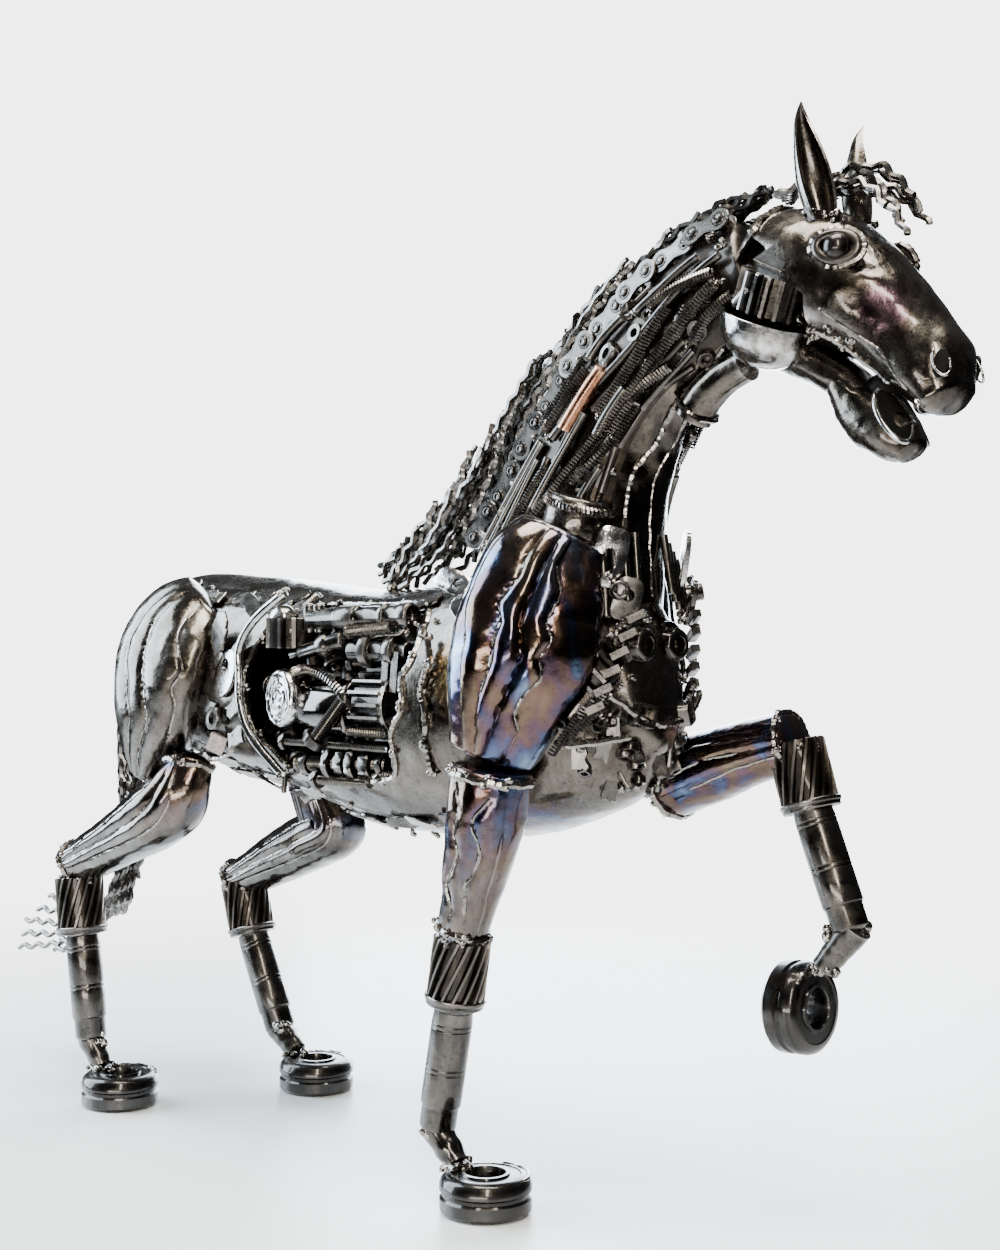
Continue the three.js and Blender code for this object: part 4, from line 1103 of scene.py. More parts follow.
for (side, flip), seed in zip(SIDES, (70, 71)):
    fittings = Piece(f"{side}_neck_fittings", "machine")
    for places, radius in LONG_SPRINGS:
        fittings.add("spring", coil(on_neck(places, radius + 1.2), radius, 0.75, 1.75))
    for places, radius in NECK_RODS:
        fittings.add("machine", tube(spaced(on_neck(places, radius + 1), 2), radius, 12))
    fittings.add("copper", tube(spaced(on_neck([(0.513, 166), (0.43, 166), (0.338, 166)], 4.5), 2), 4.2,
                                16))
    for t, degrees, across in ((0.781, 202, 10), (0.544, 160, 11), (0.306, 144, 9), (0.269, 198, 9),
                               (0.63, 168, 9)):
        middle = neck_loft.frames(np.array([t]))[0][0][:3]
        spot = neck_loft.at(t, degrees, 1.0)[0]
        fittings.add("machine", hexnut(spot, spot - middle, across, 4.5, sides=4 if across == 11 else 6))
    dark, bright = neck_filling(seed)
    fittings.add("dark", *dark).add("machine", *bright)
    knots = [(0.9, 181), (0.9, 172), (0.69, 162), (0.488, 199), (0.144, 175), (0.3, 149), (0.39, 208),
             (0.08, 161),
             (0.04, 146), (0.72, 204), (0.52, 166), (0.34, 166), (0.6, 190), (0.2, 204), (0.96, 150),
             (0.42, 183)]
    fittings.add("weld", spatter(neck_loft.at(*np.transpose(knots), 2.0), 2.3, 80))
    links = Piece(f"{side}_chain", "machine", f"{side}_chain").add("machine", *chain())
    links.add("weld", spatter(neck_loft.at([0.9, 0.68, 0.47, 0.26, 0.05], [128] * 5, 2.0), 2.2, 81))
    for piece in (fittings, links):
        piece.put(flip).build()

cup = Piece("right_neck_cup", "machine", "right_neck_cup")
cup.add("weld", lathe([(0, 0), (17, 0), (18.2, 3), (17.6, 12), (16.4, 19), (15, 21.5), (0, 22)],
                      (36, -30, 340),
                      (42, -31, 361), 40))
turn = np.linspace(0, 2 * math.pi, 40)
ring = between((np.column_stack([16.6 * np.cos(turn), 16.6 * np.sin(turn), np.zeros(40)]), []),
               (40.5, -30.8, 356),
               (42, -31, 361))[0]
cup.add("spring", coil(ring, 2.6, 0.8, 2.0))
cup.add("weld", spatter(ring[::8], 2.0, 90))
cup.build()

# ---- head ----------------------------------------------------------------------------------------
CHEEK = {"radius": 24, "wall": 2.2, "centre": (146, -19, 439), "axis": (0.39, -0.12, 0.91)}
EYE = np.array([187, -27.5, 466])
EYE_OUT = unit((0.28, -0.95, 0.2))
NOSTRIL_PLACE = (0.87, 140)  # on the head loft
JAW_WINDOW = [(139, 478), (150, 471), (161, 455), (172, 446), (169, 430), (156, 424), (140, 430),
              (124, 446),
              (126, 462)]
SCOOP = [
    [176, 0, 408, 14, 6, 11],
    [184, 0, 401, 15, 8, 16],
    [194, 0, 390, 15, 12, 17],
    [202, 0, 380, 14, 13, 12],
    [208, 0, 374, 10, 9, 6],
]
MOUTH = np.array([204.5, -8.5, 390.5])
MOUTH_ALONG = unit((0.5, -0.05, -0.86))
MOUTH_OUT = unit((0.78, -0.52, 0.35))
head_loft = Loft(HEAD, (8, 4))
NOSTRIL = head_loft.at(*NOSTRIL_PLACE, 0.8)[0]
NOSTRIL_OUT = unit(NOSTRIL - head_loft.frames(np.array([NOSTRIL_PLACE[0]]))[0][0][:3])
jaw_loft = Loft(LOWER_JAW, (6, 6))


def oval(centre, out, wide, tall, count=36, tilt=0.0):
    """Points round an oval that faces out, tilted in its own plane by some degrees."""
    turn = np.linspace(0, 2 * math.pi, count)
    c, s = math.cos(math.radians(tilt)), math.sin(math.radians(tilt))
    u, v = wide * np.cos(turn), tall * np.sin(turn)
    side = unit(np.cross(Z, out))
    up = np.cross(out, side)
    return np.asarray(centre, float) + np.outer(c * u - s * v, side) + np.outer(s * u + c * v, up)


def head_skin():
    pairs = [
        ((190, -24, 479), (17, 11, 6), 2.6), ((178, -26, 458), (12, 9, 7), 1.2),
        ((187, -27, 466), (9, 9, 6.5), -3.6),
        ((200, -24, 449), (26, 10, 5), 1.6), ((236, -15, 421), (11, 9, 9), 2.0),
        ((214, -23, 425), (14, 10, 10), -1.6), ((224, -14, 392), (11, 12, 6), 1.8),
        ((168, -26, 440), (12, 12, 12), 1.0),
    ]
    both = [swell((x, side * y, z), reach, depth) for (x, y, z), reach, depth in pairs for side in (1, -1)]
    both += [swell((233, 0, 386), (9, 13, 5), 3.4), swell((243, 0, 404), (7, 8, 7), -1.5),
             swell((212, 0, 440), (34, 9, 34), 1.0)]
    rings = sculpted(head_loft.rings(120, 140), both, [(15, 0.5, 51), (5, 0.18, 52)])
    return opened(ring_body(rings, *head_loft.tips()), JAW_WINDOW, 9, 3.0)


def bowl():
    radius, wall, centre, axis = (CHEEK[key] for key in ("radius", "wall", "centre", "axis"))
    outer = [(radius * math.sin(a), -radius * math.cos(a)) for a in np.linspace(0, math.pi / 2, 18)]
    inner = [((radius - wall) * math.sin(a), -(radius - wall) * math.cos(a))
             for a in np.linspace(math.pi / 2, 0, 18)]
    points, faces = lathe([*outer, *inner], centre, np.add(centre, axis), 64, soft=0.2)
    points[:, 1] = np.minimum(points[:, 1], -6.5)
    return points, faces


def ear():
    """A pointed leaf of sheet steel curled round its own hollow, which faces forwards and outwards."""
    heights = [0, 8, 16, 24, 32, 40, 46, 51, 55]
    widths = [6.5, 8.2, 9.0, 8.6, 7.4, 5.6, 4.0, 2.2, 0.4]
    leans = [0, -1.2, -2.4, -3.4, -4.4, -5.4, -6.2, -6.0, -5.0]
    rows = catmull(np.column_stack([heights, widths, leans]), np.linspace(0, 1, 46))
    rings = []
    for height, width, lean in rows:
        half = math.radians(128 - 34 * height / 55)
        sweep = np.linspace(-half, half, 22) + math.radians(158)
        skin = [np.stack([lean + r * np.cos(sweep), 0.92 * r * np.sin(sweep), np.full(22, height)], axis=-1)
                for r in (width, max(width - 1.3, 0.1))]
        rings.append(np.concatenate([skin[0], skin[1][::-1]]))
    points, faces = ring_body(rings, rings[0].mean(axis=0), rings[-1].mean(axis=0) + [0, 0, 0.4])
    tilt, yaw = math.radians(14), math.radians(-18)
    turn_x = np.array([[1, 0, 0], [0, math.cos(tilt), -math.sin(tilt)],
                       [0, math.sin(tilt), math.cos(tilt)]])
    turn_z = np.array([[math.cos(yaw), -math.sin(yaw), 0], [math.sin(yaw), math.cos(yaw), 0], [0, 0, 1]])
    return points @ turn_z.T @ turn_x.T + [173, -16, 481], faces


head = Piece("head", "shell", "head")
head.add("head", head_skin())
# The near-black inner shell seen through the jaw window is painted shade inside the head.
head.add("dark", shell(Loft([[x, y, z, a - 7, b - 7, c - 7] for x, y, z, a, b, c in HEAD[:-2]]), 30, 30))
for _, flip in SIDES:
    head.add("head", flip(bead(oval(EYE - EYE_OUT, EYE_OUT, 12.5, 8.8, tilt=-8), 1.7, 91)))
    head.add("dark", flip(tube(oval(EYE, EYE_OUT, 9.6, 6.4, tilt=-8), 2.4, 10)))
    # A black oval sunk in the nostril: painted shade in its opening.
    head.add("hollow", flip(laid(slab(ellipse(6.6, 3.4), 1.6), NOSTRIL - NOSTRIL_OUT * 0.6, (0.25, 0, 1),
                                 NOSTRIL_OUT)))
    head.add("bright", flip(tube(oval(NOSTRIL + NOSTRIL_OUT * 0.8, NOSTRIL_OUT, 3.7, 6.8, tilt=14), 0.65,
                                 10)))
    edge = [(x, -24 + 0.25 * abs(z - 452), z) for x, z in JAW_WINDOW[1:6]]
    head.add("weld", flip(bead(edge, 1.6, 93)))
    seam = head_loft.line([(0.36, 196), (0.5, 200), (0.62, 196), (0.75, 206), (0.88, 210)], 0.0)
    head.add("weld", flip(bead(seam, 0.8, 94)))
    jowl = head_loft.line([(0.3, 226), (0.42, 222), (0.5, 232), (0.62, 240), (0.74, 236)], 0.2)
    head.add("weld", flip(bead(jowl, 1.5, 95)))
    patch = head_loft.at([0.3, 0.34, 0.4, 0.44, 0.36, 0.5, 0.47], [214, 222, 214, 224, 232, 216, 230], -0.2)
    head.add("weld", flip(spatter(patch, 2.4, 96)))
    lid = [(-9, -7), (9, -3), (3, 10), (-4, 9)]
    head.add("bright", flip(laid(slab(lid, 1.6), (157, -31.5, 464), (0.75, -0.1, -0.6),
                                 (0.25, -0.95, 0.15))))
lip = [head_loft.at(0.985, degrees, 1.0)[0] for degrees in np.linspace(205, 335, 24)]
head.add("bright", tube(spaced(lip, 2), 1.7, 10))
head.add("weld", bead(head_loft.line([(0.02, 20), (0.03, 60), (0.03, 120), (0.02, 160)], 0.5), 2.2, 97))
head.build()

jaw = Piece("lower_jaw", "shell", "lower_jaw")
jaw_rings = sculpted(jaw_loft.rings(80, 90), [swell((203, 0, 390), (9, 9, 5), -4.5),
                                              swell((210, 0, 374), (8, 10, 6), 2.5)],
                     [(10, 0.6, 53), (4, 0.25, 54)])
jaw.add("head", ring_body(jaw_rings, *jaw_loft.tips()))
# A black lump inside the mouth: painted shade in the mouth's cavity.
jaw.add("hollow", blob((196, 0, 404), 10, 98, (1.0, 0.9, 0.8), rough=0.2))
scoop = Loft(SCOOP, (5, 2))
jaw.add("head", shell(scoop, 40, 60, texture=[(9, 0.7, 55), (3, 0.2, 56)]))
for _, flip in SIDES:
    # A black oval at the mouth on each side: painted shade in its opening.
    jaw.add("hollow", flip(laid(slab(ellipse(13.5, 6.2), 1.6), MOUTH, MOUTH_ALONG, MOUTH_OUT)))
    lip_ring = laid((np.column_stack([ellipse(14.2, 6.9, 40), np.zeros(40)]), []), MOUTH, MOUTH_ALONG,
                    MOUTH_OUT)[0]
    jaw.add("bright", flip(tube(np.vstack([lip_ring, lip_ring[:1]]), 1.5, 10)))
jaw.build()

for side, flip in SIDES:
    centre, axis = (np.array(CHEEK[key]) for key in ("centre", "axis"))
    teeth = between(gear(18, 19.5, 15.6, 19), centre + 2 * axis, centre + 21 * axis)
    pieces = [
        Piece(f"{side}_cheek", "machine", f"{side}_cheek").add("bright", bowl()),
        Piece(f"{side}_jaw_gear", "machine", f"{side}_jaw_gear").add("machine", teeth).add(
            "machine", lathe([(0, 0), (2.6, 0), (2.6, 12), (1.4, 12), (0, 11)], (136, -33, 446),
                             (145, -36, 451), 20)),
        Piece(f"{side}_eye", "bearing", f"{side}_eye").add("bearing",
                                                           blob(EYE, 6.4, 1, rough=0, rows=22, columns=36)),
        Piece(f"{side}_ear", "shell", f"{side}_ear").add("head", ear()).add(
            "weld", spatter([(173, -15, 483), (168, -19, 484), (179, -17, 482)], 2.6, 99)),
    ]
    for piece in pieces:
        piece.put(flip).build()

throat_pipe = Piece("throat_pipe", "machine")
bend = spaced([(96, -12, 398), (104, -13, 407), (116, -14, 415), (130, -15, 420)], 1.5)
throat_pipe.add("shell", tube(bend, np.linspace(10, 8.5, len(bend)), 28))
throat_pipe.add("weld", bead(oval(bend[3], unit(bend[5] - bend[3]), 10.5, 10.5), 1.4, 100))
throat_pipe.build()

# ---- mane, forelock and tail ---------------------------------------------------------------------
MANE_BODY = [
    [136, 0, 500, 7, 5, 5],
    [108, 0, 494, 8, 8, 8],
    [74, 0, 480, 9, 12, 10],
    [40, 0, 461, 10, 14, 11],
    [10, 0, 438, 10, 17, 12],
    [-22, 0, 408, 10, 20, 13],
    [-48, 0, 380, 10, 20, 14],
    [-80, 0, 353, 9, 17, 11],
    [-110, 0, 336, 7, 9, 6],
]
TAIL_BODY = [
    [-336, 0, 302, 6, 6, 6],
    [-352, 0, 294, 8, 7, 7],
    [-370, 0, 250, 9, 6, 6],
    [-372, 0, 195, 9, 6, 6],
    [-368, -2, 150, 10, 7, 7],
    [-376, -4, 118, 10, 6, 6],
]
mane_loft = Loft(MANE_BODY)
tail_loft = Loft(TAIL_BODY)


def strand(loft, start, length, low, high, across, droop=0.0):
    """A path inside a loft, from a low to a high share of its depth, at a share of its width."""
    share = np.linspace(0, 1, 7)
    t = start + share * length
    rows, along, up, side = loft.frames(np.clip(t, 0, 1))
    total = np.sum(np.linalg.norm(np.diff(loft.stations[:, :3], axis=0), axis=1))
    depth = low + (high - low) * share**0.8
    reach = np.where(depth > 0, rows[:, 4], rows[:, 5]) * depth
    past = np.maximum(t - 1, 0) * total
    place = rows[:, :3] + up * reach[:, None] + side * (across * rows[:, 3])[:, None] + along * past[:,
                                                                                                     None]
    return place - np.outer(droop * share**2, Z)


def mane():
    dice = random.Random(7)
    rods = []
    for k in range(MANE_RODS):
        start = -0.02 + 1.0 * (k / MANE_RODS) ** 0.95
        length = dice.uniform(0.24, 0.36) * (1 - 0.2 * start)
        low = dice.uniform(-1.0, -0.5)
        high = dice.uniform(0.7, 1.9) if k % 3 else dice.uniform(-0.4, 0.7)
        if start + length > 1.07:
            length = 1.07 - start
        if length < 0.09:
            continue
        across = dice.uniform(-1.1, 1.1)
        path = strand(mane_loft, max(start, 0), length, low, high, across, dice.uniform(-2, 3))
        rods.append(crimped(path, dice.uniform(1.45, 1.8), dice.uniform(11, 13.5), 1.15,
                            dice.uniform(0, 6.3),
                            dice.uniform(-0.7, 0.7), sides=5))
    return rods


def forelock():
    dice = random.Random(8)
    root = np.array([160.0, 0, 497])
    ends = [(204, -15, 484), (211, -8, 471), (209, 1, 490), (213, 9, 478), (202, 16, 492), (207, -4, 478),
            (212, 4, 484),
            (198, -10, 492), (196, 12, 484)]
    rods = []
    for k, end in enumerate(ends):
        middle = (root + end) / 2 + [2, dice.uniform(-3, 3), 9 + 3 * (k % 3)]
        path = [root + [0, 0.5 * end[1], 0], middle, lerp(middle, end, 0.6) + [2, 0, 1.5], end]
        rods.append(crimped(path, 1.7, 12, 1.1, dice.uniform(0, 6), dice.uniform(-0.5, 0.5)))
    for k in range(7):
        side = -7 + 2.4 * k
        rods.append(crimped([(140, side, 499), (154, side * 0.8, 503), (168, side * 0.6, 500)], 1.7, 12,
                            1.2, k))
    return rods


def tail():
    dice = random.Random(9)
    rods = []
    for k in range(TAIL_RODS):
        start = 0.04 + 0.5 * (k / TAIL_RODS)
        length = min(dice.uniform(0.34, 0.6), 1.02 - start)
        path = strand(tail_loft, start, length, dice.uniform(-1, 1), dice.uniform(-1, 1),
                      dice.uniform(-1, 1))
        rods.append(crimped(path, 1.65, 13, 1.2, dice.uniform(0, 6), dice.uniform(-1, 1), sides=5))
    for k in range(-2, 3):
        path = [(-370, 3 * k - 2, 150), (-376 - k, 4 * k - 4, 118 - 3 * k), (-400, 5 * k - 6, 98 + 4 * k),
                (-430, 5 * k - 8, 93 + 6 * k), (-473 + 5 * abs(k), 6 * k - 12, 92 + 8 * k)]
        rods.append(crimped(path, 1.65, 13, 1.3, k))
        rods.append(crimped([np.add(p, (4, -3, -1.25 * j)) for j, p in enumerate(path[:-1])], 1.6, 13, 1.3,
                            k + 2))
    return rods


stub = [(-322, 0, 300), (-338, 0, 303), (-350, 0, 296), (-356, 0, 284)]
Piece("mane", "rod", "mane").add("rod", *mane()).build()
Piece("forelock", "rod", "forelock").add("rod", *forelock()).build()
Piece("tail", "rod", "tail").add("rod", *tail()).add("rod", tube(spaced(stub, 2), 5.5, 14)).add(
    "weld", bead(oval((-334, 0, 302), unit((-1, 0, 0.2)), 7, 7), 1.8, 101)).build()


# ---- flank ---------------------------------------------------------------------------------------
def holed(outer, hole, thickness):
    """A plate along +Z from two outlines of as many [x, y] corners, the second one being a real hole."""
    rings = [np.column_stack([shape, np.full(len(shape), z)])
             for shape, z in ((outer, 0.2), (outer, thickness - 0.3), (lerp(outer, hole, 0.1), thickness),
                              (hole, thickness), (hole, 0), (outer, 0.2))]
    return ring_body(rings)


def ragged(outline, seed, depth=0.8, steps=4):
    """An outline with torched, uneven edges."""
    dice = random.Random(seed)
    corners = np.asarray(outline, float)
    closed = np.vstack([corners, corners[:1]])
    made = [lerp(a, b, k / steps) for a, b in zip(closed, closed[1:]) for k in range(steps)]
    return [p + np.array([dice.uniform(-depth, depth), dice.uniform(-depth, depth)]) for p in made]


def lens():
    profile = [(0, 0), (16.5, 0), (16.8, 3), (16.2, 6), (15.2, 7.4), (13.8, 7.6), (13.0, 6.2), (11.6, 5.6),
               (10.4, 6.4),
               (9.2, 6.6), (8.4, 5.6), (7.0, 5.4), (6.2, 6.4), (4.6, 6.8), (3.6, 5.9), (2.2, 5.8), (0, 6.6)]
    points, faces = turned(profile, 64, soft=0.25)
    top = points[:, 2] > 5
    points[top, 2] += 0.5 * lumps(points[top], 3.0, 201)
    return between((points, faces), (-151, -55, 255), (-153, -62, 255))


def drum():
    profile = [(0, 0), (15.6, 0), (16.5, 0.9), (16.5, 33), (15.4, 33.6), (15.4, 34.6), (18.5, 34.8),
               (18.5, 38.6),
               (17.6, 39), (0, 39)]
    return lathe(profile, (-138, -45, 250), (-99, -45, 250), 64)


def flank_tube():
    profile = [(0, 0), (5.2, 0), (6, 0.8), (6, 22), (6.6, 22.4), (6.6, 40), (6, 40.4), (6, 58), (7.2, 58.6),
               (7.2, 62),
               (6.2, 62.4), (6.2, 72), (7.2, 72.6), (7.2, 79), (5.4, 80), (5.2, 74), (0, 74)]
    return lathe(profile, (-137, -51, 299), (-57, -51, 301), 40)


def nozzle():
    profile = [(0, 0), (2.4, 0), (2.6, 8), (4.2, 9), (4.6, 24), (6.4, 26), (6.4, 32), (5, 33), (5, 44),
               (0, 45)]
    return lathe(profile, (-150, -54, 279), (-106, -54, 288), 28)


def bay_filling(seed):
    """The jumble of small scrap deep in the flank."""
    dice = random.Random(seed)
    dark, bright = [], []
    for k in range(BAY_BITS):
        x, z = dice.uniform(-176, -52), dice.uniform(212, 306)
        y = -dice.uniform(34, 46)
        along = unit([dice.uniform(-1, 1), dice.uniform(-0.15, 0.15), dice.uniform(-0.7, 0.7)])
        end = np.array([x, y, z]) + along * dice.uniform(10, 24)
        kind = k % 5
        if kind == 0:
            bright.append(coil([(x, y, z), end], dice.uniform(2, 3.2), 0.6, 1.8))
        elif kind == 1:
            dark.append(bolt((x, y, z), end, dice.uniform(2, 3.2), turn=dice.uniform(0, 60)))
        elif kind == 2:
            bright.append(hexnut((x, y - 3, z), (0.2, -1, 0.1), dice.uniform(6, 11), 4,
                                 turn=dice.uniform(0, 60)))
        elif kind == 3:
            dark.append(lathe([(0, 0), (4, 0), (4, 5), (6, 5), (6, 7), (3, 7), (3, 12), (0, 12)], (x, y, z),
                              end, 18))
        else:
            dark.append(tube(spaced([(x, y, z), end], 2), dice.uniform(1.5, 3.5), 12))
    return dark, bright


def opening_bead(seed):
    """The weld bead round the opening in the right flank, and the points it runs through."""
    outline = [(x, z) for x, z in FLANK_OPENING] + [FLANK_OPENING[0]]
    shares = np.linspace(0, 1, 200)
    places = torso_loft.frames(shares)[0][:, 0]
    points = []
    for x, z in spaced([(x, 0, z) for x, z in outline], 3)[:, [0, 2]]:
        rows = torso_loft.frames(np.array([np.interp(x, places, shares)]))[0][0]
        above = rows[4] if z > rows[2] else rows[5]
        share = np.clip((z - rows[2]) / above, -0.98, 0.98)
        points.append((x, -rows[3] * math.sqrt(1 - share**2) - 0.3, z))
    return bead(points, 1.6, seed), points


rim_bead, rim_points = opening_bead(210)
edge_spring = coil(np.array(rim_points)[52:66] + [2.5, 1.5, 3.5], 2.6, 0.7, 1.9)

bay_parts = Piece("flank_rim", "machine")
bay_parts.add("weld", rim_bead, mirrored(rim_bead), spatter(rim_points[::9], 2.4, 211),
              mirrored(spatter(rim_points[::11], 2.4, 212)))
for (_, flip), seed in zip(SIDES, (213, 214)):
    dark, bright = bay_filling(seed)
    bay_parts.add("dark", *[flip(shape) for shape in dark]).add("machine",
                                                                *[flip(shape) for shape in bright])
bay_parts.build()

Piece("right_flank_lens", "lens", "right_flank_lens").add("lens", lens()).build()
Piece("left_flank_lens", "lens", "left_flank_lens").add("lens", mirrored(lens())).build()
Piece("right_flank_drum", "machine", "right_flank_drum").add("mirror", drum()).build()
Piece("left_flank_drum", "machine", "left_flank_drum").add("mirror", mirrored(drum())).build()
rib_path = [(-149, -60, 314), (-170, -64, 299), (-181, -65.5, 284), (-182, -65, 270), (-181, -65, 250),
            (-173, -63, 232),
            (-153, -58, 212)]
rib = tube(spaced(rib_path, 1.5), 2.6, 14)
rib_welds = spatter([rib_path[0], rib_path[-1], (-180, -62, 262)], 2.8, 215)
Piece("right_flank_rib", "machine", "right_flank_rib").add("bright", rib).add("weld", rib_welds).build()
left_rib = Piece("left_flank_rib", "machine", "left_flank_rib")
left_rib.add("bright", mirrored(rib)).add("weld", mirrored(rib_welds)).build()
Piece("right_flank_gear", "machine", "right_flank_gear").add(
    "machine", between(gear(18, 20, 15.8, 23), (-95, -45, 253), (-72, -45, 253))).add(
    "machine", lathe([(0, 0), (18, 0), (18, 3), (0, 3)], (-72.5, -45, 253), (-69, -45, 253), 40)).build()
Piece("right_flank_teeth", "machine", "right_flank_teeth").add(
    "machine", between(gear(12, 17, 12.4, 17), (-155, -46, 283), (-155, -46, 300))).build()
Piece("right_flank_tube", "machine", "right_flank_tube").add("machine", flank_tube()).add(
    "dark", lathe([(6.2, 0), (6.9, 0.3), (6.9, 13.7), (6.2, 14)], (-113, -51, 299.6), (-99, -51, 300),
                  32)).build()
Piece("right_flank_bolt", "machine", "right_flank_bolt").add(
    "machine", lathe([(0, 0), (5.4, 0), (5.4, 12), (9.5, 12.4), (9.5, 18), (6.5, 18.4), (6.5, 30),
                      (8.4, 30.4), (8.4, 36),
                      (5, 36.4), (5, 44), (0, 44)], (-103, -52, 282), (-59, -52, 282), 36)).add(
    "spring", coil([(-102, -56, 292), (-67, -56, 295)], 4.2, 0.9, 2.2)).build()
big = Piece("right_flank_big_bolt", "machine", "right_flank_big_bolt")
big.add("machine", between(thread(4.6, 72, 1.6, 22), (-146, -52, 219), (-74, -52, 221)))
for x, across, thick in ((-140, 13, 5), (-119, 18, 4), (-111, 15, 6), (-100, 19, 5), (-91, 16, 7),
                         (-80, 12, 4)):
    big.add("machine", hexnut((x, -52, 219 + (x + 146) / 36), (1, 0, 0.028), across, thick, turn=x))
big.build()

loose = Piece("right_flank_scrap", "machine")
loose.add("machine", nozzle())
loose.add("bright", blob((-163, -49, 300), 8.5, 216, (1, 0.9, 0.9), rough=0.05, rows=18, columns=28))
hose = [(-142, -59, 270), (-128, -63.5, 272), (-112, -64.5, 268), (-102, -62, 260), (-98, -58, 250)]
loose.add("spring", coil(hose, 2.9, 0.75, 1.9), edge_spring)
loose.add("bearing", bolt((-117, -68, 232), (-93, -67, 257), 4.0, head=1.7))
loose.add("machine", hexnut((-56, -56, 265), (-0.4, -1, 0), 14, 4, inner=4.2))
loose.add("machine", bolt((-152, -58, 231), (-68, -58, 230), 2.2, head=2.2))
loose.add("spring", coil([(-98, -60, 239), (-70, -60, 238)], 3.0, 0.7, 1.9))
loose.add("machine", bolt((-128, -56, 211), (-84, -57, 211), 2.8))
loose.add("machine", *[lathe([(0, 0), (3.2, 0), (3.2, 15), (2, 16), (0, 16)], (x, -50, 292),
                             (x + 1, -52, 309), 16)
                       for x in (-139, -131)])
loose.add("machine", *[laid(slab([(-11, -2.4), (11, -2.4), (11, 2.4), (-11, 2.4)], 2), (x, -56, 271),
                            (0.1, 0, 1),
                            (0, -1, 0)) for x in (-72, -65)])
loose.add("weld", spatter([(-150, -57, 231), (-98, -59, 250), (-139, -56, 262), (-70, -56, 284),
                           (-66, -54, 244),
                           (-120, -56, 225), (-60, -52, 292), (-146, -57, 292)], 2.2, 217))
loose.build()


def back_plates():
    """Leaf brackets, a ring nut, a red diamond and torched scraps between the flank and the haunch."""
    piece = Piece("right_back_scrap", "machine")
    leaf = [(-13, -4), (-7, -9), (2, -10), (10, -5), (13, 1), (9, 7), (0, 9), (-9, 6)]
    out = (-0.15, -0.98, 0.1)
    piece.add("bright", laid(holed(ellipse(15, 10, 32), ellipse(3.4, 3.4, 32, (5, 2)), 2),
                             (-196, -62.5, 268),
                             (0.5, 0, 0.86), out))
    piece.add("machine", laid(slab(ragged(leaf, 1), 2), (-203, -61, 292), (0.4, 0, 0.9), (-0.1, -0.9, 0.4)))
    piece.add("machine", hexnut((-206, -61.5, 242), out, 13, 4, inner=3.8))
    diamond = [(-9, 0), (0, -8), (10, -1), (1, 7)]
    piece.add("red", laid(slab(diamond, 2.2), (-207, -60.5, 228), (0.9, 0, 0.35), (-0.1, -0.95, -0.2)))
    piece.add("weld", bead([(-218, -60, 221), (-208, -62, 218), (-196, -61, 222), (-190, -62, 234)], 1.6,
                           220))
    for k, (x, z) in enumerate(((-186, 282), (-190, 248), (-188, 232), (-176, 308), (-214, 250),
                                (-196, 308))):
        scrap = ragged([(-7, -4), (6, -5), (8, 4), (-5, 5)], 230 + k, 1.2)
        lean = 0.85 if z > 295 else 0.1
        piece.add("machine", laid(slab(scrap, 1.8), (x, -61.5 + (z > 295) * 18, z),
                                  (0.6, 0, 0.8 - k * 0.25),
                                  (-0.1, -1, lean)))
    return piece


def spine_plates():
    """Torched scraps of sheet lying over one another along both sides of the back and the belly."""
    dice = random.Random(240)
    piece = Piece("back_sheets", "shell")
    for k in range(30):
        t = 0.22 + 0.5 * (k % 15) / 15 + dice.uniform(-0.01, 0.01)
        degrees = dice.uniform(118, 142) if k < 15 else dice.uniform(232, 248)
        here, ahead = torso_loft.at([t, t + 0.01], degrees, 0.2)
        middle = torso_loft.frames(np.array([t]))[0][0][:3]
        scrap = ragged(ellipse(dice.uniform(9, 13), dice.uniform(4, 7), 10, square=0.8), 250 + k, 1.0, 2)
        plate = laid(slab(scrap, 1.6), here, ahead - here + dice.uniform(-1, 1) * Z, here - middle)
        drops = spatter([here + (ahead - here) * 6], 1.8, 270 + k)
        piece.add("shell", plate, mirrored(plate)).add("weld", drops, mirrored(drops))
    return piece


back_plates().build()
spine_plates().build()
behind_shoulder = Piece("shoulder_plates", "machine")
for x, z, turn in ((-24, 318, 0.2), (-14, 302, -0.3)):
    strap = laid(holed(ellipse(11, 6.5, 28, square=0.7), ellipse(3, 3, 28, (4, 0)), 2), (x, -55, z),
                 (0.8, 0, turn - 0.5),
                 (-0.1, -0.8, 0.6))
    behind_shoulder.add("bright", strap, mirrored(strap))
drips = [(-36, -63, 290), (-33, -65, 276), (-37, -66, 262), (-33, -66, 248), (-36, -64, 234),
         (-34, -60, 220)]
behind_shoulder.add("weld", bead(drips, 2.0, 280), mirrored(bead(drips, 2.0, 281)))
knobs = spatter(drips, 2.6, 282)
behind_shoulder.add("weld", knobs, mirrored(knobs))
behind_shoulder.build()

# ---- chest ---------------------------------------------------------------------------------------
chest_gear = between(gear(14, 19, 15, 16), (42, -30, 281), (46, -26, 275))
Piece("right_chest_gear", "machine", "right_chest_gear").add("machine", chest_gear).build()


def hub():
    """A turned hub with its bore, standing forwards out of the chest."""
    profile = [(0, 0), (10, 0), (10, 14), (12, 15), (12, 19), (9, 20), (8.2, 25), (6.4, 26), (4.2, 26),
               (4, 20), (0, 20)]
    return lathe(profile, (44, -14, 286), (69, -13, 286), 40)


for side, flip in SIDES:
    Piece(f"{side}_chest_hub", "machine", f"{side}_chest_hub").add("machine", flip(hub())).add(
        "weld", flip(bead(oval((58, -13.5, 286), unit((1, 0.04, 0)), 12.6, 12.6), 1.4, 290))).build()


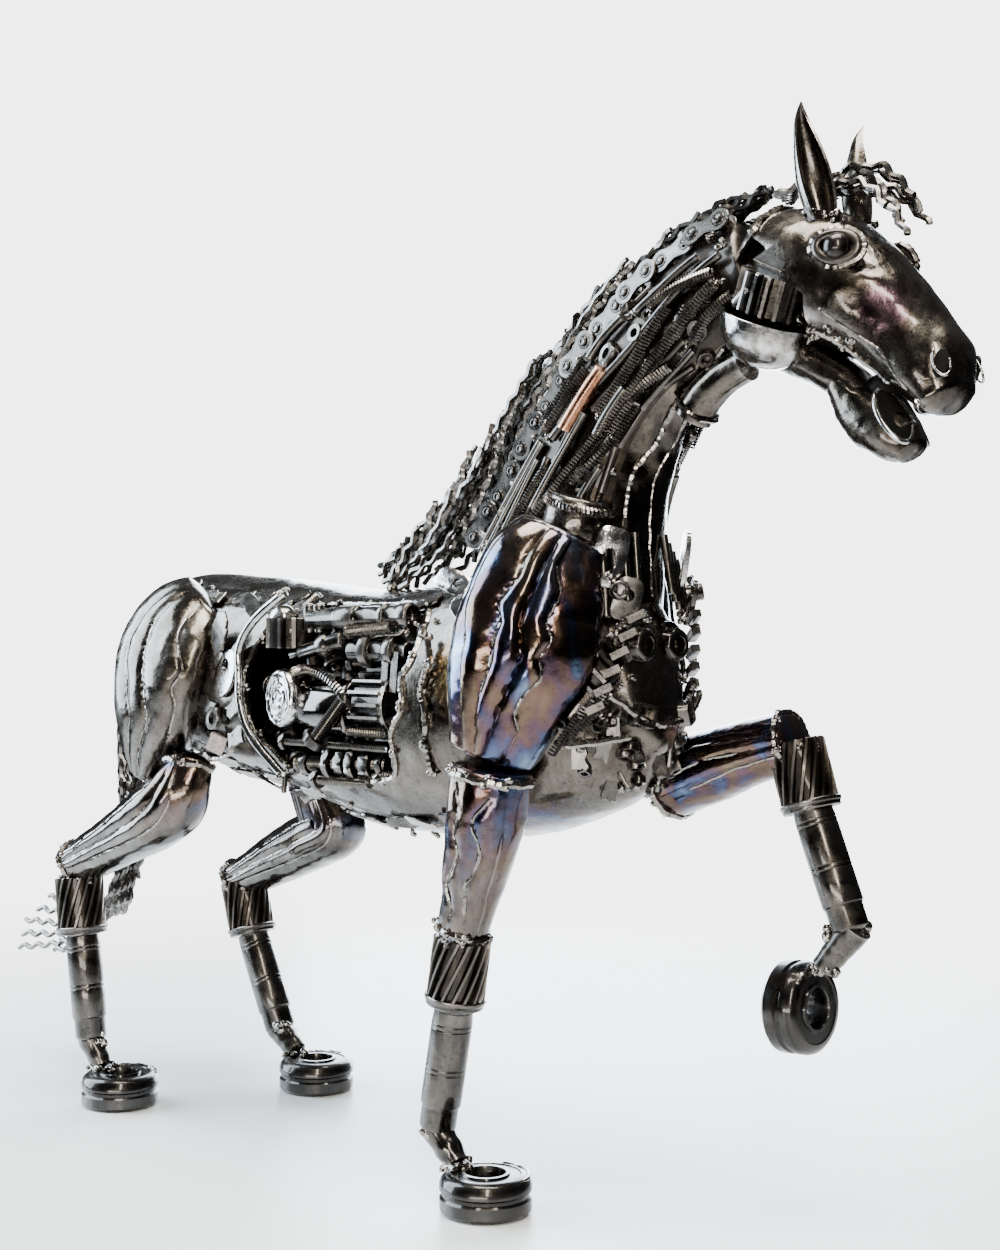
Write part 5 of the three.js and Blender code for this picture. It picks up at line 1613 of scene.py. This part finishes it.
def chest_scrap(seed):
    """Brackets, springs, plates and stubs of tube that fill the breast, for one side."""
    dice = random.Random(seed)
    found = []
    front = (0.72, -0.66, 0.15)
    bracket = holed(ellipse(15, 8.5, 36, square=0.8), ellipse(7.5, 3.6, 36, (-3, 0)), 3)
    found.append(("bright", laid(bracket, (58, -30, 330), (0.25, 0.1, 1), front)))
    strap = holed(ellipse(11, 7, 28, square=0.7), ellipse(3.2, 3.2, 28, (2, 0)), 2.6)
    found.append(("machine", laid(strap, (66, -26, 309), (0.3, 0.1, 1), front)))
    stub = [(0, 0), (4.6, 0), (4.6, 9), (3.4, 9.4), (3.2, 4), (0, 4)]
    found.append(("machine", lathe(stub, (62, -28, 312), (71, -36, 314), 24)))
    for k in range(5):
        start = np.array([66 - 3 * k, -30 - 3.4 * k, 268 - 3 * k])
        found.append(("spring", coil([start, start + [-16, -7, -20 - k]], 2.6, 0.7, 1.8)))
    for k in range(6):
        place = np.array([69 - 2.6 * k, -22 - 3.2 * k, 300 - 9 * k])
        block = laid(slab([(-5, -2), (5, -2), (5, 2), (-5, 2)], 5), place, (0.5, 0.35, 0.3), front)
        found.append(("machine", block))
    for k in range(5):
        start = np.array([60 - 2 * k, -12 - 6 * k, 342 - 4 * k])
        found.append(("machine", tube(spaced([start, start + [4, -2, -30]], 2), 2.2, 12)))
    square = ellipse(6, 6, 32, square=1.0)
    found.append(("machine", laid(holed(square, square * 0.72, 14), (60, -14, 250), (0, 0.3, 1),
                                  (0.9, -0.3, 0.1))))
    for k in range(26):
        t, degrees = dice.uniform(0.86, 0.985), dice.uniform(182, 262)
        here = torso_loft.at(t, degrees, 0.5)[0]
        out = here - torso_loft.frames(np.array([t]))[0][0][:3]
        if k % 3 == 0:
            found.append(("machine", hexnut(here, out, dice.uniform(6, 10), 4, turn=dice.uniform(0, 60))))
        elif k % 3 == 1:
            scrap = ragged([(-7, -4), (7, -3), (6, 4), (-6, 4)], seed + k, 1.0)
            found.append(("machine", laid(slab(scrap, 2), here, (dice.uniform(-1, 1), 0, 1), out)))
        else:
            found.append(("weld", blob(here, dice.uniform(2, 3.6), k, rough=0.5, rows=7, columns=12)))
    seam = [(64, -38, 262), (68, -30, 256), (70, -20, 250), (71, -8, 247), (71, 0, 246)]
    found.append(("weld", bead(seam, 1.7, seed)))
    found.append(("weld", bead([(38, -48, 238), (46, -44, 236), (56, -36, 238), (66, -22, 240)], 1.5,
                               seed + 1)))
    found.append(("weld", spatter([(66, -30, 296), (60, -34, 320), (70, -14, 300), (56, -40, 280),
                                   (66, -20, 270)], 2.6,
                                  seed + 2)))
    return found


for (side, flip), seed in zip(SIDES, (300, 330)):
    breast = Piece(f"{side}_breast_scrap", "machine")
    breast.shapes = chest_scrap(seed)
    breast.put(flip).build()


# ---- studio --------------------------------------------------------------------------------------
CAMERA_PLACE = (633.9, -750.2, 296)
CAMERA_TURN = 42.0  # degrees from facing +Y towards facing -X
CAMERA_LENS = 53.57


def to_row(place):
    return Vector((np.asarray(place, float) + OFFSET) / 1000)


def add_camera():
    data = bpy.data.cameras.new("camera")
    data.lens = CAMERA_LENS
    data.clip_start = 0.01
    camera = bpy.data.objects.new("camera", data)
    bpy.context.scene.collection.objects.link(camera)
    camera.location = to_row(CAMERA_PLACE)
    camera.rotation_euler = (math.radians(90), 0, math.radians(CAMERA_TURN))
    bpy.context.scene.camera = camera


def add_light(name, place, aim, size, power, colour):
    data = bpy.data.lights.new(name, "AREA")
    data.shape = "RECTANGLE"
    data.size, data.size_y = (s / 1000 for s in size)
    data.energy = power
    data.color = colour
    light = bpy.data.objects.new(name, data)
    bpy.context.scene.collection.objects.link(light)
    light.location = to_row(place)
    light.rotation_euler = (to_row(aim) - light.location).to_track_quat("-Z", "Y").to_euler()
    light.visible_camera = False


def add_world():
    world = bpy.data.worlds.new("studio")
    bpy.context.scene.world = world
    world.use_nodes = True
    nodes, links = world.node_tree.nodes, world.node_tree.links
    nodes.clear()
    output = nodes.new("ShaderNodeOutputWorld")
    seen, room, mix = (nodes.new(kind) for kind in ("ShaderNodeBackground", "ShaderNodeBackground",
                                                    "ShaderNodeMixShader"))
    seen.inputs["Color"].default_value = (0.95, 0.945, 0.94, 1)
    seen.inputs["Strength"].default_value = 5.0
    height = nodes.new("ShaderNodeSeparateXYZ")
    ramp = nodes.new("ShaderNodeValToRGB")
    ray = nodes.new("ShaderNodeLightPath")
    coords = nodes.new("ShaderNodeTexCoord")
    links.new(coords.outputs["Generated"], height.inputs[0])
    links.new(height.outputs["Z"], ramp.inputs[0])
    stops = ramp.color_ramp.elements
    stops[0].position, stops[0].color = 0.0, (0.05, 0.05, 0.055, 1)
    stops[1].position, stops[1].color = 0.8, (0.5, 0.5, 0.5, 1)
    links.new(ramp.outputs[0], room.inputs["Color"])
    room.inputs["Strength"].default_value = 0.3
    links.new(ray.outputs["Is Camera Ray"], mix.inputs[0])
    links.new(room.outputs[0], mix.inputs[1])
    links.new(seen.outputs[0], mix.inputs[2])
    links.new(mix.outputs[0], output.inputs[0])


def add_floor():
    """A pale floor that fades out, so that no horizon shows."""
    angles = np.linspace(0, 2 * math.pi, 96, endpoint=False)
    rings = [np.stack([r * np.cos(angles), r * np.sin(angles), np.full(96, -0.3)], axis=-1)
             for r in (5, 300, 700, 1400)]
    points, faces = ring_body(rings, (0, 0, -0.3))
    mesh = bpy.data.meshes.new("floor")
    mesh.from_pydata((points / 1000).tolist(), [], [f for block in faces for f in block.tolist()])
    p = Pattern("pale_floor")
    p.shader.inputs["Base Color"].default_value = (0.82, 0.825, 0.83, 1)
    p.shader.inputs["Roughness"].default_value = 0.35
    away = p.node("ShaderNodeVectorMath", {"operation": "LENGTH"}, _0=p.place)
    fade = p.node("ShaderNodeMapRange", {"interpolation_type": "SMOOTHSTEP"}, Value=away.outputs["Value"],
                  From_Min=0.25, From_Max=1.1)
    clear = p.node("ShaderNodeBsdfTransparent")
    mix = p.node("ShaderNodeMixShader", _0=fade.outputs[0])
    p.tree.links.new(p.shader.outputs[0], mix.inputs[1])
    p.tree.links.new(clear.outputs[0], mix.inputs[2])
    p.tree.links.new(mix.outputs[0], p.tree.nodes["Material Output"].inputs["Surface"])
    mesh.materials.append(p.material)
    floor = bpy.data.objects.new("floor", mesh)
    bpy.context.scene.collection.objects.link(floor)


add_camera()
add_world()
add_floor()
add_light("window", (-1100, -500, 700), (-100, 0, 250), (900, 1300), 60, (0.72, 0.86, 1.0))
add_light("window_behind", (-700, 1000, 500), (-50, 0, 250), (900, 1100), 40, (0.8, 0.9, 1.0))
add_light("ceiling", (100, -100, 1500), (0, 0, 200), (900, 700), 45, (1.0, 0.95, 0.86))
add_light("front_strip", (900, -900, 900), (50, 0, 280), (160, 900), 16, (1.0, 0.93, 0.82))
add_light("low_fill", (500, -1100, 120), (0, 0, 200), (900, 160), 8, (1.0, 0.97, 0.92))
